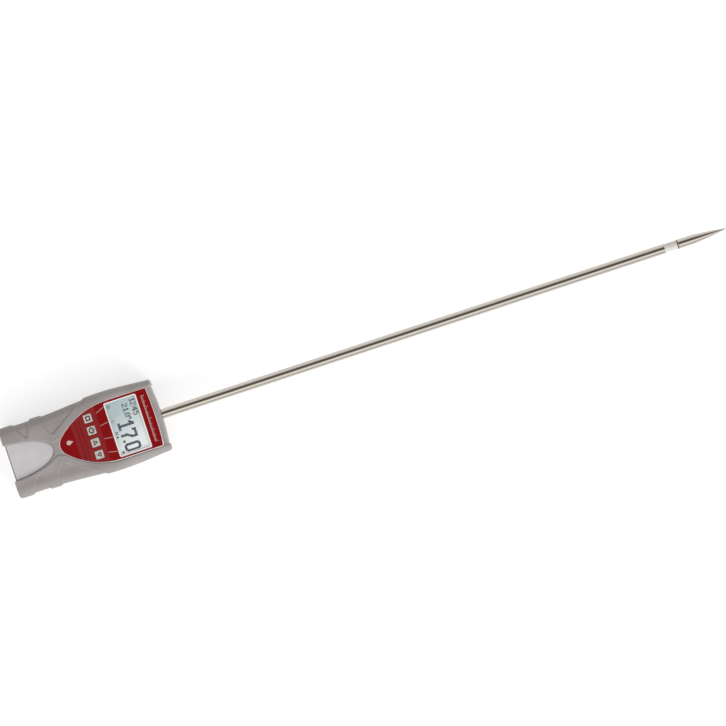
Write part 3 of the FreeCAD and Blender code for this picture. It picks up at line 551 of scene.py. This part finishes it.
def boot_openings(x, y, z):
    """Distances to the spaces cut from the boot, each with the rounding of its edge."""
    side, in_front, behind = np.abs(x), MIDDLE_Z - z, z - MIDDLE_Z
    flare = np.maximum(z - HOUSING_TOP, 0)
    yield np.maximum((foil_outline(x, y) - 0.5 - 0.25 * flare) / 1.03, in_front), 0.4
    up = y - WINDOW_END
    k1 = np.hypot(x / WINDOW_X, up / WINDOW_Y)
    k2 = np.hypot(x / WINDOW_X**2, up / WINDOW_Y**2) + 1e-6
    window = (k1 * (k1 - 1) / k2 + 0.6 - 0.45 * flare) / 1.1
    yield np.maximum(window, 33.6 - z), 0.4
    yield np.maximum(side - WINDOW_X - 0.2, y + 79.3), 0.5
    for cx, cy, wide, high, corner in BACK_OPENINGS:
        dx, dy = np.abs(x - cx) - wide + corner, np.abs(y - cy) - high + corner
        outside = np.hypot(np.maximum(dx, 0), np.maximum(dy, 0))
        yield np.maximum(outside + np.minimum(np.maximum(dx, dy), 0) - corner, behind), 0.6
    yield np.maximum(np.hypot(x, z - MIDDLE_Z) - PROBE_OPENING, 72.0 - y), 0.7


def boot_field(x, y, z):
    """Signed distance to the boot, in mm, negative in the rubber."""
    half, side = half_width(y), np.abs(x)
    end_round = np.where(y > 0, 2.2, 3.2)
    share = np.clip((18.0 - y) / 36.0, 0, 1)
    crown = GRIP_CROWN * share**2 * (3 - 2 * share)
    full_ends = np.maximum(np.hypot(x, y + 819.05) - END_ARCH, -BOOT_END - y)
    front_radius = BOOT_FRONT_RADIUS + crown
    full = section(x, z, half, 0.0, BOOT_HEIGHT, BOOT_BACK_RADIUS, front_radius)
    full = meet(full, full_ends, end_round)
    low_ends = np.maximum(np.hypot(x, y + 179.1) - LOWERED_ARCH, -80.0 - y)
    low = section(x, z, half - LOWERED_SIDE, LOWERED_BACK, LOWERED_FRONT, 3.5, 7.2 + 0.4 * crown)
    low = meet(low, low_ends, end_round)
    recess = np.minimum(
        polygon(side, y, with_round_corners(UPPER_RECESS)),
        polygon(side, y, with_round_corners(LOWER_RECESS)),
    )
    rails = polygon(side, y, with_round_corners(RAIL))
    end_band = -np.maximum(side - 30.5, 76.5 - y)
    raised = np.maximum(np.where(z > MIDDLE_Z, rails, end_band), -recess)
    drafted = (raised + 0.7 * np.maximum(low, 0)) / 1.22
    solid = join(low, meet(full, drafted, 0.3), 0.2)

    hollow_ends = np.maximum(np.hypot(x, y + 821.9) - END_ARCH, -HOLLOW_END - y)
    hollow = section(x, z, half - HOLLOW_SIDE, HOLLOW_BACK, HOLLOW_FRONT, 3.0, 5.5)
    solid = np.maximum(solid, -np.maximum(hollow, hollow_ends))
    for opening, radius in boot_openings(x, y, z):
        solid = meet(solid, -opening, radius)
    return solid


def surface_net(field, low, high, cell):
    """A quad mesh of a field's zero surface, with one vertex in each grid cell that it crosses."""
    axes = [np.arange(a, b + cell, cell, dtype=np.float32) for a, b in zip(low, high)]
    grid = field(axes[0][:, None, None], axes[1][None, :, None], axes[2][None, None, :])
    inside = grid < 0
    counts = sum(
        inside[i : i - 1 or None, j : j - 1 or None, k : k - 1 or None].astype(np.int8)
        for i in (0, 1) for j in (0, 1) for k in (0, 1)
    )
    where = np.argwhere((counts > 0) & (counts < 8))
    index = np.full(counts.shape, -1, np.int32)
    index[tuple(where.T)] = np.arange(len(where))
    total, hits = np.zeros((len(where), 3)), np.zeros(len(where))
    for axis in range(3):
        others = [n for n in range(3) if n != axis]
        for u in (0, 1):
            for v in (0, 1):
                start = where.copy()
                start[:, others[0]] += u
                start[:, others[1]] += v
                end = start.copy()
                end[:, axis] += 1
                a, b = grid[tuple(start.T)], grid[tuple(end.T)]
                crossed = (a < 0) != (b < 0)
                share = np.where(crossed, a / np.where(crossed, a - b, 1), 0)
                point = start - where + 0.0
                point[:, axis] += share
                total += point * crossed[:, None]
                hits += crossed
    points = (where + total / hits[:, None]) * cell + np.array([a[0] for a in axes])
    quads = []
    for axis in range(3):
        first, second = (axis + 1) % 3, (axis + 2) % 3
        ahead = np.moveaxis(inside, axis, 0)
        flips = np.moveaxis(ahead[1:] != ahead[:-1], 0, axis)
        edges = np.argwhere(flips)
        ring = []
        for u, v in ((-1, -1), (0, -1), (0, 0), (-1, 0)):
            at = edges.copy()
            at[:, first] += u
            at[:, second] += v
            ring.append(index[tuple(at.T)])
        ring = np.stack(ring, 1)
        backwards = ~inside[tuple(edges.T)]
        ring[backwards] = ring[backwards, ::-1]
        quads.append(ring)
    return points, np.concatenate(quads)


def gradient(field, points, step=0.05):
    sides = []
    for axis in range(3):
        offset = np.zeros(3)
        offset[axis] = step
        ahead, back = points + offset, points - offset
        sides.append(field(*ahead.T) - field(*back.T))
    slope = np.stack(sides, 1)
    return slope / np.maximum(np.linalg.norm(slope, axis=1, keepdims=True), 1e-9)


def thinned(mesh, ratio):
    """The mesh with fewer faces where it is flat."""
    piece = bpy.data.objects.new("thinning", mesh)
    bpy.context.scene.collection.objects.link(piece)
    modifier = piece.modifiers.new("thin", "DECIMATE")
    modifier.ratio = ratio
    graph = bpy.context.evaluated_depsgraph_get()
    result = bpy.data.meshes.new_from_object(piece.evaluated_get(graph))
    bpy.data.objects.remove(piece)
    return result


def make_boot():
    cell = 0.5
    points, quads = surface_net(boot_field, (-42.3, -82.3, -1.3), (42.3, 82.3, 39.3), cell)
    mesh = bpy.data.meshes.new("boot_net")
    mesh.from_pydata(points.tolist(), [], quads.tolist())
    mesh = thinned(mesh, 0.25)
    mesh.name = "rubber_boot"
    place = np.zeros(len(mesh.vertices) * 3)
    mesh.vertices.foreach_get("co", place)
    place = place.reshape(-1, 3)
    for _ in range(2):
        normal = gradient(boot_field, place)
        away = np.clip(boot_field(*place.T), -0.3, 0.3)
        place -= normal * away[:, None]
    normal = gradient(boot_field, place)
    mesh.vertices.foreach_set("co", (place * MM).ravel())
    mesh.update()
    mesh.shade_smooth()
    mesh.normals_split_custom_set_from_vertices(normal.tolist())
    return make_piece(
        "boot_body", mesh, PAINTS["boot_rubber"], "meter", "boot_rubber", ["rubber_boot"], smooth=0
    )


make_boot()

# ---- painted shadow between boot and housing: a dark strip along the lower window's right edge ---


def make_window_shadow():
    """A dark bead, a painted shadow, that follows the window's edge and thins out at both ends."""
    profile = ((-0.8, -0.1), (-0.8, 0.15), (-0.1, 0.85), (0.2, 0.85), (-0.3, -0.1))
    loops = []
    for i in range(61):
        turn = math.radians(4 + 102 * i / 60)
        size = min(1.0, (61 - i) / 22, (i + 2) / 3)
        x, up = WINDOW_X * math.cos(turn), WINDOW_Y * math.sin(turn)
        out = Vector((x / WINDOW_X**2, up / WINDOW_Y**2)).normalized()
        loop = []
        for offset, rise in profile:
            reach = -0.6 + (offset + 0.6) * size
            z = HOUSING_TOP + max(rise * size, -0.1)
            loop.append((x + out.x * reach, WINDOW_END + up + out.y * reach, z))
        loops.append(loop)
    bm = bmesh.new()
    loft(bm, loops)
    make_piece("window_shadow_strip", finish_mesh("window_shadow_strip", bm), PAINTS["seal_black"], "meter")


make_window_shadow()

# ---- probe --------------------------------------------------------------------------------------

CORE_HOLE, TUBE_BORE, SHANK_RADIUS, SHANK_END, TIP_TAPER_LENGTH = 2.1, 4.2, 4.75, 81.3, 36.5


def along_probe(name):
    """Start, end and radius of a turned part of the probe, in mm."""
    low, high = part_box(name)
    return low.y / MM, high.y / MM, high.x / MM


def turned(y0, y1, radius, bore, edge):
    """A ring's profile with its two outer edges slightly rounded."""
    soft = edge * 0.3
    return [
        (bore, y0), (radius - edge, y0), (radius - soft, y0 + soft), (radius, y0 + edge),
        (radius, y0 + 2 * edge), (radius, y1 - 2 * edge),
        (radius, y1 - edge), (radius - soft, y1 - soft), (radius - edge, y1), (bore, y1),
    ]


def tip_profile():
    """The tip's outside: a cylinder, then a slightly rounded cone to a blunted point."""
    y0, y1, radius = along_probe("probe_tip")
    taper = y1 - TIP_TAPER_LENGTH
    points = [(CORE_HOLE, y0), (radius - 0.2, y0), (radius, y0 + 0.2), (radius, y0 + 0.5)]
    points += [(radius, taper - 2), (radius, taper)]
    for i in range(1, 25):
        share = i / 24
        bulge = 0.5 * math.sin(math.pi * share)
        y = taper + (TIP_TAPER_LENGTH - 0.4) * share
        points.append((radius + (0.3 - radius) * share + bulge, y))
    points += [(0.2, y1 - 0.12), (0.02, y1), (0.02, y0 + 21), (CORE_HOLE, y0 + 20)]
    return points


tube_y0, tube_y1, tube_radius = along_probe("probe_tube")
tube = [(TUBE_BORE, tube_y0), (SHANK_RADIUS, tube_y0), (SHANK_RADIUS, SHANK_END)]
tube += turned(SHANK_END, tube_y1, tube_radius, TUBE_BORE, 0.15)[1:]
spigot_y0, collar_y1, collar_radius = along_probe("tip_insulator")
insulator = [(CORE_HOLE, spigot_y0), (TUBE_BORE - 0.1, spigot_y0), (TUBE_BORE - 0.1, tube_y1)]
insulator += turned(tube_y1, collar_y1, collar_radius, CORE_HOLE, 0.15)[1:]
seal = turned(*along_probe("tip_seal"), CORE_HOLE, 0.3)
for name, profile, slot in (
    ("probe_tube", tube, "tube_steel"),
    ("tip_insulator", insulator, "insulator_white"),
    ("tip_seal", seal, "seal_black"),
    ("probe_tip", tip_profile(), "tube_steel"),
):
    make_piece(name + "_turned", lathe(name, profile), PAINTS[slot], "meter", slot, [name], 25.0)

# ---- keys ---------------------------------------------------------------------------------------


def icon_outlines(kind, x, y):
    """The icon's strokes on a key: pairs of outer and inner outlines."""
    if kind == "menu":
        return [(rounded_rectangle(x, y, 2.45, 2.45, 0.5, 11), circle(x, y, 1.45, 48, 0.0))]
    if kind == "power":
        gap, sweep = math.radians(118), math.radians(304)
        ring = [
            circle(x, y, 3.05, 48, gap, sweep) + circle(x, y, 1.8, 48, gap + sweep, -sweep),
            [(x - 0.6, y + 0.2), (x + 0.6, y + 0.2), (x + 0.6, y + 3.3), (x - 0.6, y + 3.3)],
        ]
        return [(outline, None) for outline in ring]
    turn = 1 if kind == "up" else -1
    outer = [(x + 2.85 * sx, y + turn * h) for sx, h in ((-1, -2.0), (1, -2.0), (0, 2.75))]
    inner = [(x + 1.15 * sx, y + turn * h) for sx, h in ((-1, -1.05), (1, -1.05), (0, 0.85))]
    return [(outer, inner)]


for kind in ("menu", "power", "up", "down"):
    low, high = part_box("key_" + kind)
    x, y = (low.x + high.x) / 2 / MM, (low.y + high.y) / 2 / MM
    half, top = (high.x - low.x) / 2 / MM, high.z / MM
    bm = bmesh.new()
    loops = []
    edge = ((0.0, low.z / MM), (0.0, top - 0.22), (0.05, top - 0.1), (0.2, top - 0.01), (0.6, top))
    for inset, z in edge:
        side = half - inset
        loops.append(at_height(rounded_rectangle(x, y, side, side, 0.65 - inset), z))
    loft(bm, loops)
    body = kind + "_key"
    make_piece(
        "key_cap_" + kind, finish_mesh("key_" + kind, bm), PAINTS["key_silver"], body, "key_silver",
        ["key_" + kind], 40.0,
    )
    bm = bmesh.new()
    for outer, inner in icon_outlines(kind, x, y):
        if inner:
            frame_slab(bm, outer, inner, top - 0.02, top + 0.02)
        else:
            slab(bm, outer, top - 0.02, top + 0.02)
    make_piece("key_icon_" + kind, finish_mesh("icon_" + kind, bm), KEY_INK, body, smooth=0)

# ---- snap domes under their keys, in their resting shape ----------------------------------------

DOME_PROFILE = (
    (0.3, 0.36), (1.4, 0.35), (2.2, 0.32), (3.1, 0.19), (3.9, 0.0), (4.1, 0.0), (4.1, 0.1),
    (3.2, 0.3), (2.3, 0.43), (1.4, 0.465), (0.3, 0.47),
)

for kind in ("menu", "power", "up", "down"):
    low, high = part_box("snap_dome_" + kind)
    x, y = (low.x + high.x) / 2 / MM, (low.y + high.y) / 2 / MM
    bm = bmesh.new()
    loft(bm, [at_height(circle(x, y, radius), low.z / MM + rise) for radius, rise in DOME_PROFILE])
    mesh = finish_mesh("dome_" + kind, bm)
    dome = make_piece(
        "dome_shell_" + kind, mesh, PAINTS["dome_steel"], "meter", "dome_steel",
        ["snap_dome_" + kind], 50.0,
    )
    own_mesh(dome)

# ---- print on the foil and the lens -------------------------------------------------------------

foil_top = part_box("keypad_overlay")[1].z / MM


def round_foil(offset, highlight_widening, rays=480):
    """Points at a distance outside the foil's outline, found by halving along rays.

    Beside the display, on the right, the distance is less by the given widening, so that the whiter
    rim is wider there: a painted highlight along that edge.
    """
    points = []
    for i in range(rays):
        a = 2 * math.pi * i / rays
        near, far = 0.0, 80.0
        for _ in range(24):
            middle = (near + far) / 2
            x, y = middle * math.cos(a), 28 + middle * math.sin(a)
            beside = min(1.0, max(0.0, (x - 22) / 8)) * min(1.0, max(0.0, (y - 8) / 20))
            outside = foil_outline(x, y) > offset - highlight_widening * beside
            near, far = (near, middle) if outside else (middle, far)
        points.append((near * math.cos(a), 28 + near * math.sin(a)))
    return points


# the housing's rim round the keypad; whiter than the housing and wider on the right beside the
# display, as a painted highlight
bm = bmesh.new()
bead = (
    (0.04, 0.5, -0.5), (0.04, 0.5, 0.02), (0.2, 0.45, 0.2), (0.4, 0.2, 0.14), (0.64, 0, -0.12),
    (0.64, 0, -0.5),
)
loops = [at_height(round_foil(offset, highlight_widening), foil_top + rise) for offset, highlight_widening, rise in bead]
loft(bm, loops, closed=True)
make_piece("keypad_rim", finish_mesh("keypad_rim", bm), RIM_HIGHLIGHT_WHITE, "meter", smooth=50.0)

lens_low, lens_high = (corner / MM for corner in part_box("display_lens"))
lens_x, lens_y = (lens_high.x - lens_low.x) / 2, (lens_high.y - lens_low.y) / 2
lens_middle = (lens_high.y + lens_low.y) / 2


def printed(name, outlines, paint, top):
    bm = bmesh.new()
    for outline in outlines:
        slab(bm, outline, top - 0.03, top + 0.025)
    return make_piece(name, finish_mesh(name, bm), paint, "meter", smooth=0)


def stroke(x0, y0, x1, y1, width):
    """A straight line's outline, with square ends."""
    along = Vector((x1 - x0, y1 - y0)).normalized()
    side = Vector((-along.y, along.x)) * width / 2
    return [(x0 + side.x, y0 + side.y), (x0 - side.x, y0 - side.y), (x1 - side.x, y1 - side.y),
            (x1 + side.x, y1 + side.y)]


leaders = ((-25.2, -21.6), (-9.4, -8.2), (6.6, 5.6), (21.8, 19.8))
printed(
    "leader_lines", [stroke(x0, 27.9, x1, 19.2, 0.75) for x0, x1 in leaders], LINE_INK, foil_top
)

ticks = []
for i in range(41):
    x = -24.0 + 1.2 * i
    height = 3.4 if i % 10 == 0 else 2.4 if i % 5 == 0 else 1.5
    ticks.append(stroke(x, 67.8, x, 67.8 + height, 0.34))
printed("scale_ticks", ticks + [stroke(-24.2, 67.6, 24.2, 67.6, 0.42)], SILVER_INK, foil_top)

drop = [(-1.6, -11.6)] + circle(-1.6, -16.2, 2.35, 28, math.radians(38), -math.radians(256))
printed("drop_mark", [drop], SILVER_INK, foil_top)

bm = bmesh.new()
outer = rounded_rectangle(0, lens_middle, lens_x, lens_y, 1.5, 8)
inner = rounded_rectangle(0, lens_middle, lens_x - 1.15, lens_y - 1.15, 1.1, 8)
frame_slab(bm, outer, inner, lens_high.z - 0.03, lens_high.z + 0.02)
make_piece("lens_border", finish_mesh("lens_border", bm), WHITE_INK, "meter", smooth=0)

# ---- reading on the display ---------------------------------------------------------------------

MATRIX_X, MATRIX_Y = -27.3, 30.0  # lower left corner of the dots
DIGITS = {
    "0": ("0110", "1001", "1001", "1001", "1001", "1001", "0110"),
    "1": ("0010", "0110", "0010", "0010", "0010", "0010", "0111"),
    "2": ("0110", "1001", "0001", "0010", "0100", "1000", "1111"),
    "4": ("0010", "0110", "1010", "1010", "1111", "0010", "0010"),
    "5": ("1111", "1000", "1110", "0001", "0001", "1001", "0110"),
    ":": ("0", "0", "1", "0", "0", "1", "0"),
    ".": ("0", "0", "0", "0", "0", "0", "1"),
    "°": ("111", "101", "111", "000", "000", "000", "000"),
}
SYMBOLS = {
    "square": ("11111110", "10000001", "10111101", "10100101", "10111101", "10000001", "11111110"),
    "ring": ("0011100", "0100010", "1000001", "1000001", "1000001", "0100010", "0011100"),
    "lock": ("0111110", "1110111", "1100011", "1100011", "1100011", "1110111", "0111110"),
    "rise": ("0001000", "0001000", "0011100", "0011100", "0111110", "0111110", "1111111"),
    "fall": ("1111111", "0111110", "0111110", "0011100", "0011100", "0001000", "0001000"),
}


def lit(rows, left, top, times=1, bold=0):
    """Matrix places of a bitmap's lit dots, each widened to a block of dots."""
    for row, line in enumerate(rows):
        for column, state in enumerate(line):
            if state == "1":
                for i in range(times + bold):
                    for j in range(times):
                        yield left + column * times + i, top - row * times - j


def text_dots(text, left, top):
    for sign in text:
        yield from lit(DIGITS[sign], left, top, 2, 0 if sign == "°" else 1)
        left += len(DIGITS[sign][0]) * 2 + 2


def near_path(points, width, x, y):
    """Whether a place lies within half a width of a path with square ends and corners."""
    for (ax, ay), (bx, by) in zip(points, points[1:]):
        run = Vector((bx - ax, by - ay))
        length = run.length
        run.normalize()
        along = (x - ax) * run.x + (y - ay) * run.y
        across = abs((x - ax) * run.y - (y - ay) * run.x)
        if -width / 2 <= along <= length + width / 2 and across <= width / 2:
            return True
    return False


def digit_dots(paths, left, bottom, width, height):
    first, low = round((left - MATRIX_X) / DOT), round((bottom - MATRIX_Y) / DOT)
    for i in range(round(width / DOT)):
        for j in range(round(height / DOT)):
            if any(near_path(points, 2.4, (i + 0.5) * DOT, (j + 0.5) * DOT) for points in paths):
                yield first + i, low + j


ONE = [[(3.9, 1.2), (3.9, 15.4), (3.2, 15.4), (1.2, 12.6)], [(1.2, 1.2), (6.8, 1.2)]]
SEVEN = [[(1.2, 13.6), (1.2, 15.5), (7.9, 15.5), (7.9, 11.2), (4.9, 6.2), (4.9, 1.2)]]
NOUGHT = [
    [(1.2, 3.0), (1.2, 13.8), (2.8, 15.5), (5.8, 15.5), (7.3, 13.8), (7.3, 3.0), (5.8, 1.2),
     (2.8, 1.2), (1.2, 3.0)]
]
POINT = [[(1.2, 1.3), (1.3, 1.6)]]

dots = set(text_dots("12:45", 4, 72)) | set(text_dots("21.0°", 12, 51))
reading = ((ONE, -4.8, 8.0), (SEVEN, 3.9, 9.2), (POINT, 13.4, 2.6), (NOUGHT, 17.1, 8.6))
for paths, left, width in reading:
    dots |= set(digit_dots(paths, left, 36.0, width, 16.9))
for symbol, left in (("square", 5), ("ring", 42), ("lock", 72), ("rise", 82), ("fall", 120)):
    dots |= set(lit(SYMBOLS[symbol], left, 9))

panel_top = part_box("lcd_panel")[1].z / MM
bm = bmesh.new()
for column, row in sorted(dots):
    x, y, half = MATRIX_X + (column + 0.5) * DOT, MATRIX_Y + (row + 0.5) * DOT, DOT * 0.475
    square = [(x + sx * half, y + sy * half) for sx, sy in ((-1, -1), (1, -1), (1, 1), (-1, 1))]
    slab(bm, square, panel_top - 0.02, panel_top + 0.02)
make_piece("reading_dots", finish_mesh("reading_dots", bm), LCD_INK, "meter", smooth=0)

# ---- floor, light and camera --------------------------------------------------------------------

SLOPE = math.radians(18.22)
RIGHT = Vector((math.sin(SLOPE), math.cos(SLOPE), 0))
UP = Vector((-math.cos(SLOPE), math.sin(SLOPE), 0))
AIM = Vector((0.01457, 0.29146, 0.03))

# light levels by the tilt about the probe's axis, in radians, and by the X of the direction
CARD_STOPS = (
    (-1.85, 1.1), (-1.39, 1.15), (-1.0, 0.86), (-0.65, 0.36), (-0.4, 0.1), (-0.1, 0.1), (0.05, 0.22),
    (0.32, 0.8), (0.62, 1.5), (0.8, 1.4), (1.0, 0.95), (1.39, 0.56), (1.85, 0.66),
)
ROOM_STOPS = ((-1.0, 0.08), (0.0, 1.08), (1.0, 1.36))
BRIGHTEST = 1.5


def make_floor():
    mesh = bpy.data.meshes.new("floor")
    size = 30.0
    corners = [(-size, -size, 0), (size, -size, 0), (size, size, 0), (-size, size, 0)]
    mesh.from_pydata(corners, [], [(0, 1, 2, 3)])
    floor = bpy.data.objects.new("floor", mesh)
    bpy.context.scene.collection.objects.link(floor)
    floor.location.z = -0.0002
    paint = Paint("floor_paper", roughness=0.9, specular_ior_level=0.1, emission_color=(1, 1, 1, 1))
    paint.set("Base Color", paint.mix(paint.noise(6.0), srgb(188, 188, 188), srgb(194, 194, 194)))
    paint.shader.inputs["Emission Strength"].default_value = 0.6
    mesh.materials.append(paint.material)
    floor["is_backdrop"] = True


def make_sun(direction, strength, angle):
    lamp = bpy.data.lights.new("sun", "SUN")
    lamp.energy, lamp.angle = strength, math.radians(angle)
    light = bpy.data.objects.new("sun", lamp)
    bpy.context.scene.collection.objects.link(light)
    light.rotation_mode = "QUATERNION"
    light.rotation_quaternion = direction.to_track_quat("Z", "Y")
    light.visible_glossy = False


def make_world():
    """A white studio; a dark card and two grey ones are reflected along the probe."""
    world = bpy.data.worlds.new("studio")
    bpy.context.scene.world = world
    world.use_nodes = True
    tree = world.node_tree

    def add(kind, **settings):
        node = tree.nodes.new(kind)
        for key, value in settings.items():
            setattr(node, key, value)
        return node

    def graded(value, low, high, stops):
        """A level that follows a list of (value, level) stops; the dark ones are slightly warm."""
        share = add("ShaderNodeMapRange")
        tree.links.new(value, share.inputs["Value"])
        share.inputs["From Min"].default_value = low
        share.inputs["From Max"].default_value = high
        ramp = add("ShaderNodeValToRGB")
        tree.links.new(share.outputs["Result"], ramp.inputs["Fac"])
        elements = ramp.color_ramp.elements
        while len(elements) < len(stops):
            elements.new(0.5)
        for element, (at, level) in zip(elements, stops):
            element.position = (at - low) / (high - low)
            warm = 0.8 * level * max(0.0, 0.4 - level)
            element.color = (*((level - warm * share) / BRIGHTEST for share in (0.0, 0.5, 1.0)), 1)
        return ramp.outputs["Color"]

    split = add("ShaderNodeSeparateXYZ")
    tree.links.new(add("ShaderNodeTexCoord").outputs["Generated"], split.inputs["Vector"])
    tilt = add("ShaderNodeMath", operation="ARCTAN2")
    tree.links.new(split.outputs["X"], tilt.inputs[0])
    tree.links.new(split.outputs["Z"], tilt.inputs[1])
    cards = graded(tilt.outputs["Value"], -math.pi, math.pi, CARD_STOPS)
    room = graded(split.outputs["X"], -1, 1, ROOM_STOPS)
    beyond = add("ShaderNodeMath", operation="SUBTRACT")
    tree.links.new(split.outputs["Y"], beyond.inputs[0])
    beyond.inputs[1].default_value = 0.15
    across = add("ShaderNodeMath", operation="ABSOLUTE")
    tree.links.new(beyond.outputs["Value"], across.inputs[0])
    beside = graded(across.outputs["Value"], 0, 1, ((0.27, 0.0), (0.38, BRIGHTEST)))
    mix = add("ShaderNodeMix", data_type="RGBA")
    for source, socket in ((beside, 0), (cards, 6), (room, 7)):
        tree.links.new(source, mix.inputs[socket])
    background = tree.nodes["Background"]
    tree.links.new(mix.outputs[2], background.inputs["Color"])
    background.inputs["Strength"].default_value = BRIGHTEST


def make_camera():
    data = bpy.data.cameras.new("camera")
    data.lens, data.sensor_width = 240.0, 36.0
    data.clip_start, data.clip_end = 0.05, 60.0
    camera = bpy.data.objects.new("camera", data)
    bpy.context.scene.collection.objects.link(camera)
    turn = Matrix((RIGHT, UP, Vector((0, 0, 1)))).transposed()
    camera.matrix_world = Matrix.Translation(AIM + Vector((0, 0, 4.9))) @ turn.to_4x4()
    bpy.context.scene.camera = camera


make_floor()
make_world()
make_sun(Vector((0.9, 0.5, 0.56)), 0.9, 24.0)
make_camera()
bpy.context.scene.view_settings.view_transform = "Standard"

boxes = {"cad": cad_box, "visual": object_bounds()}
{name: [list(corner) for corner in corners] for name, corners in boxes.items()}
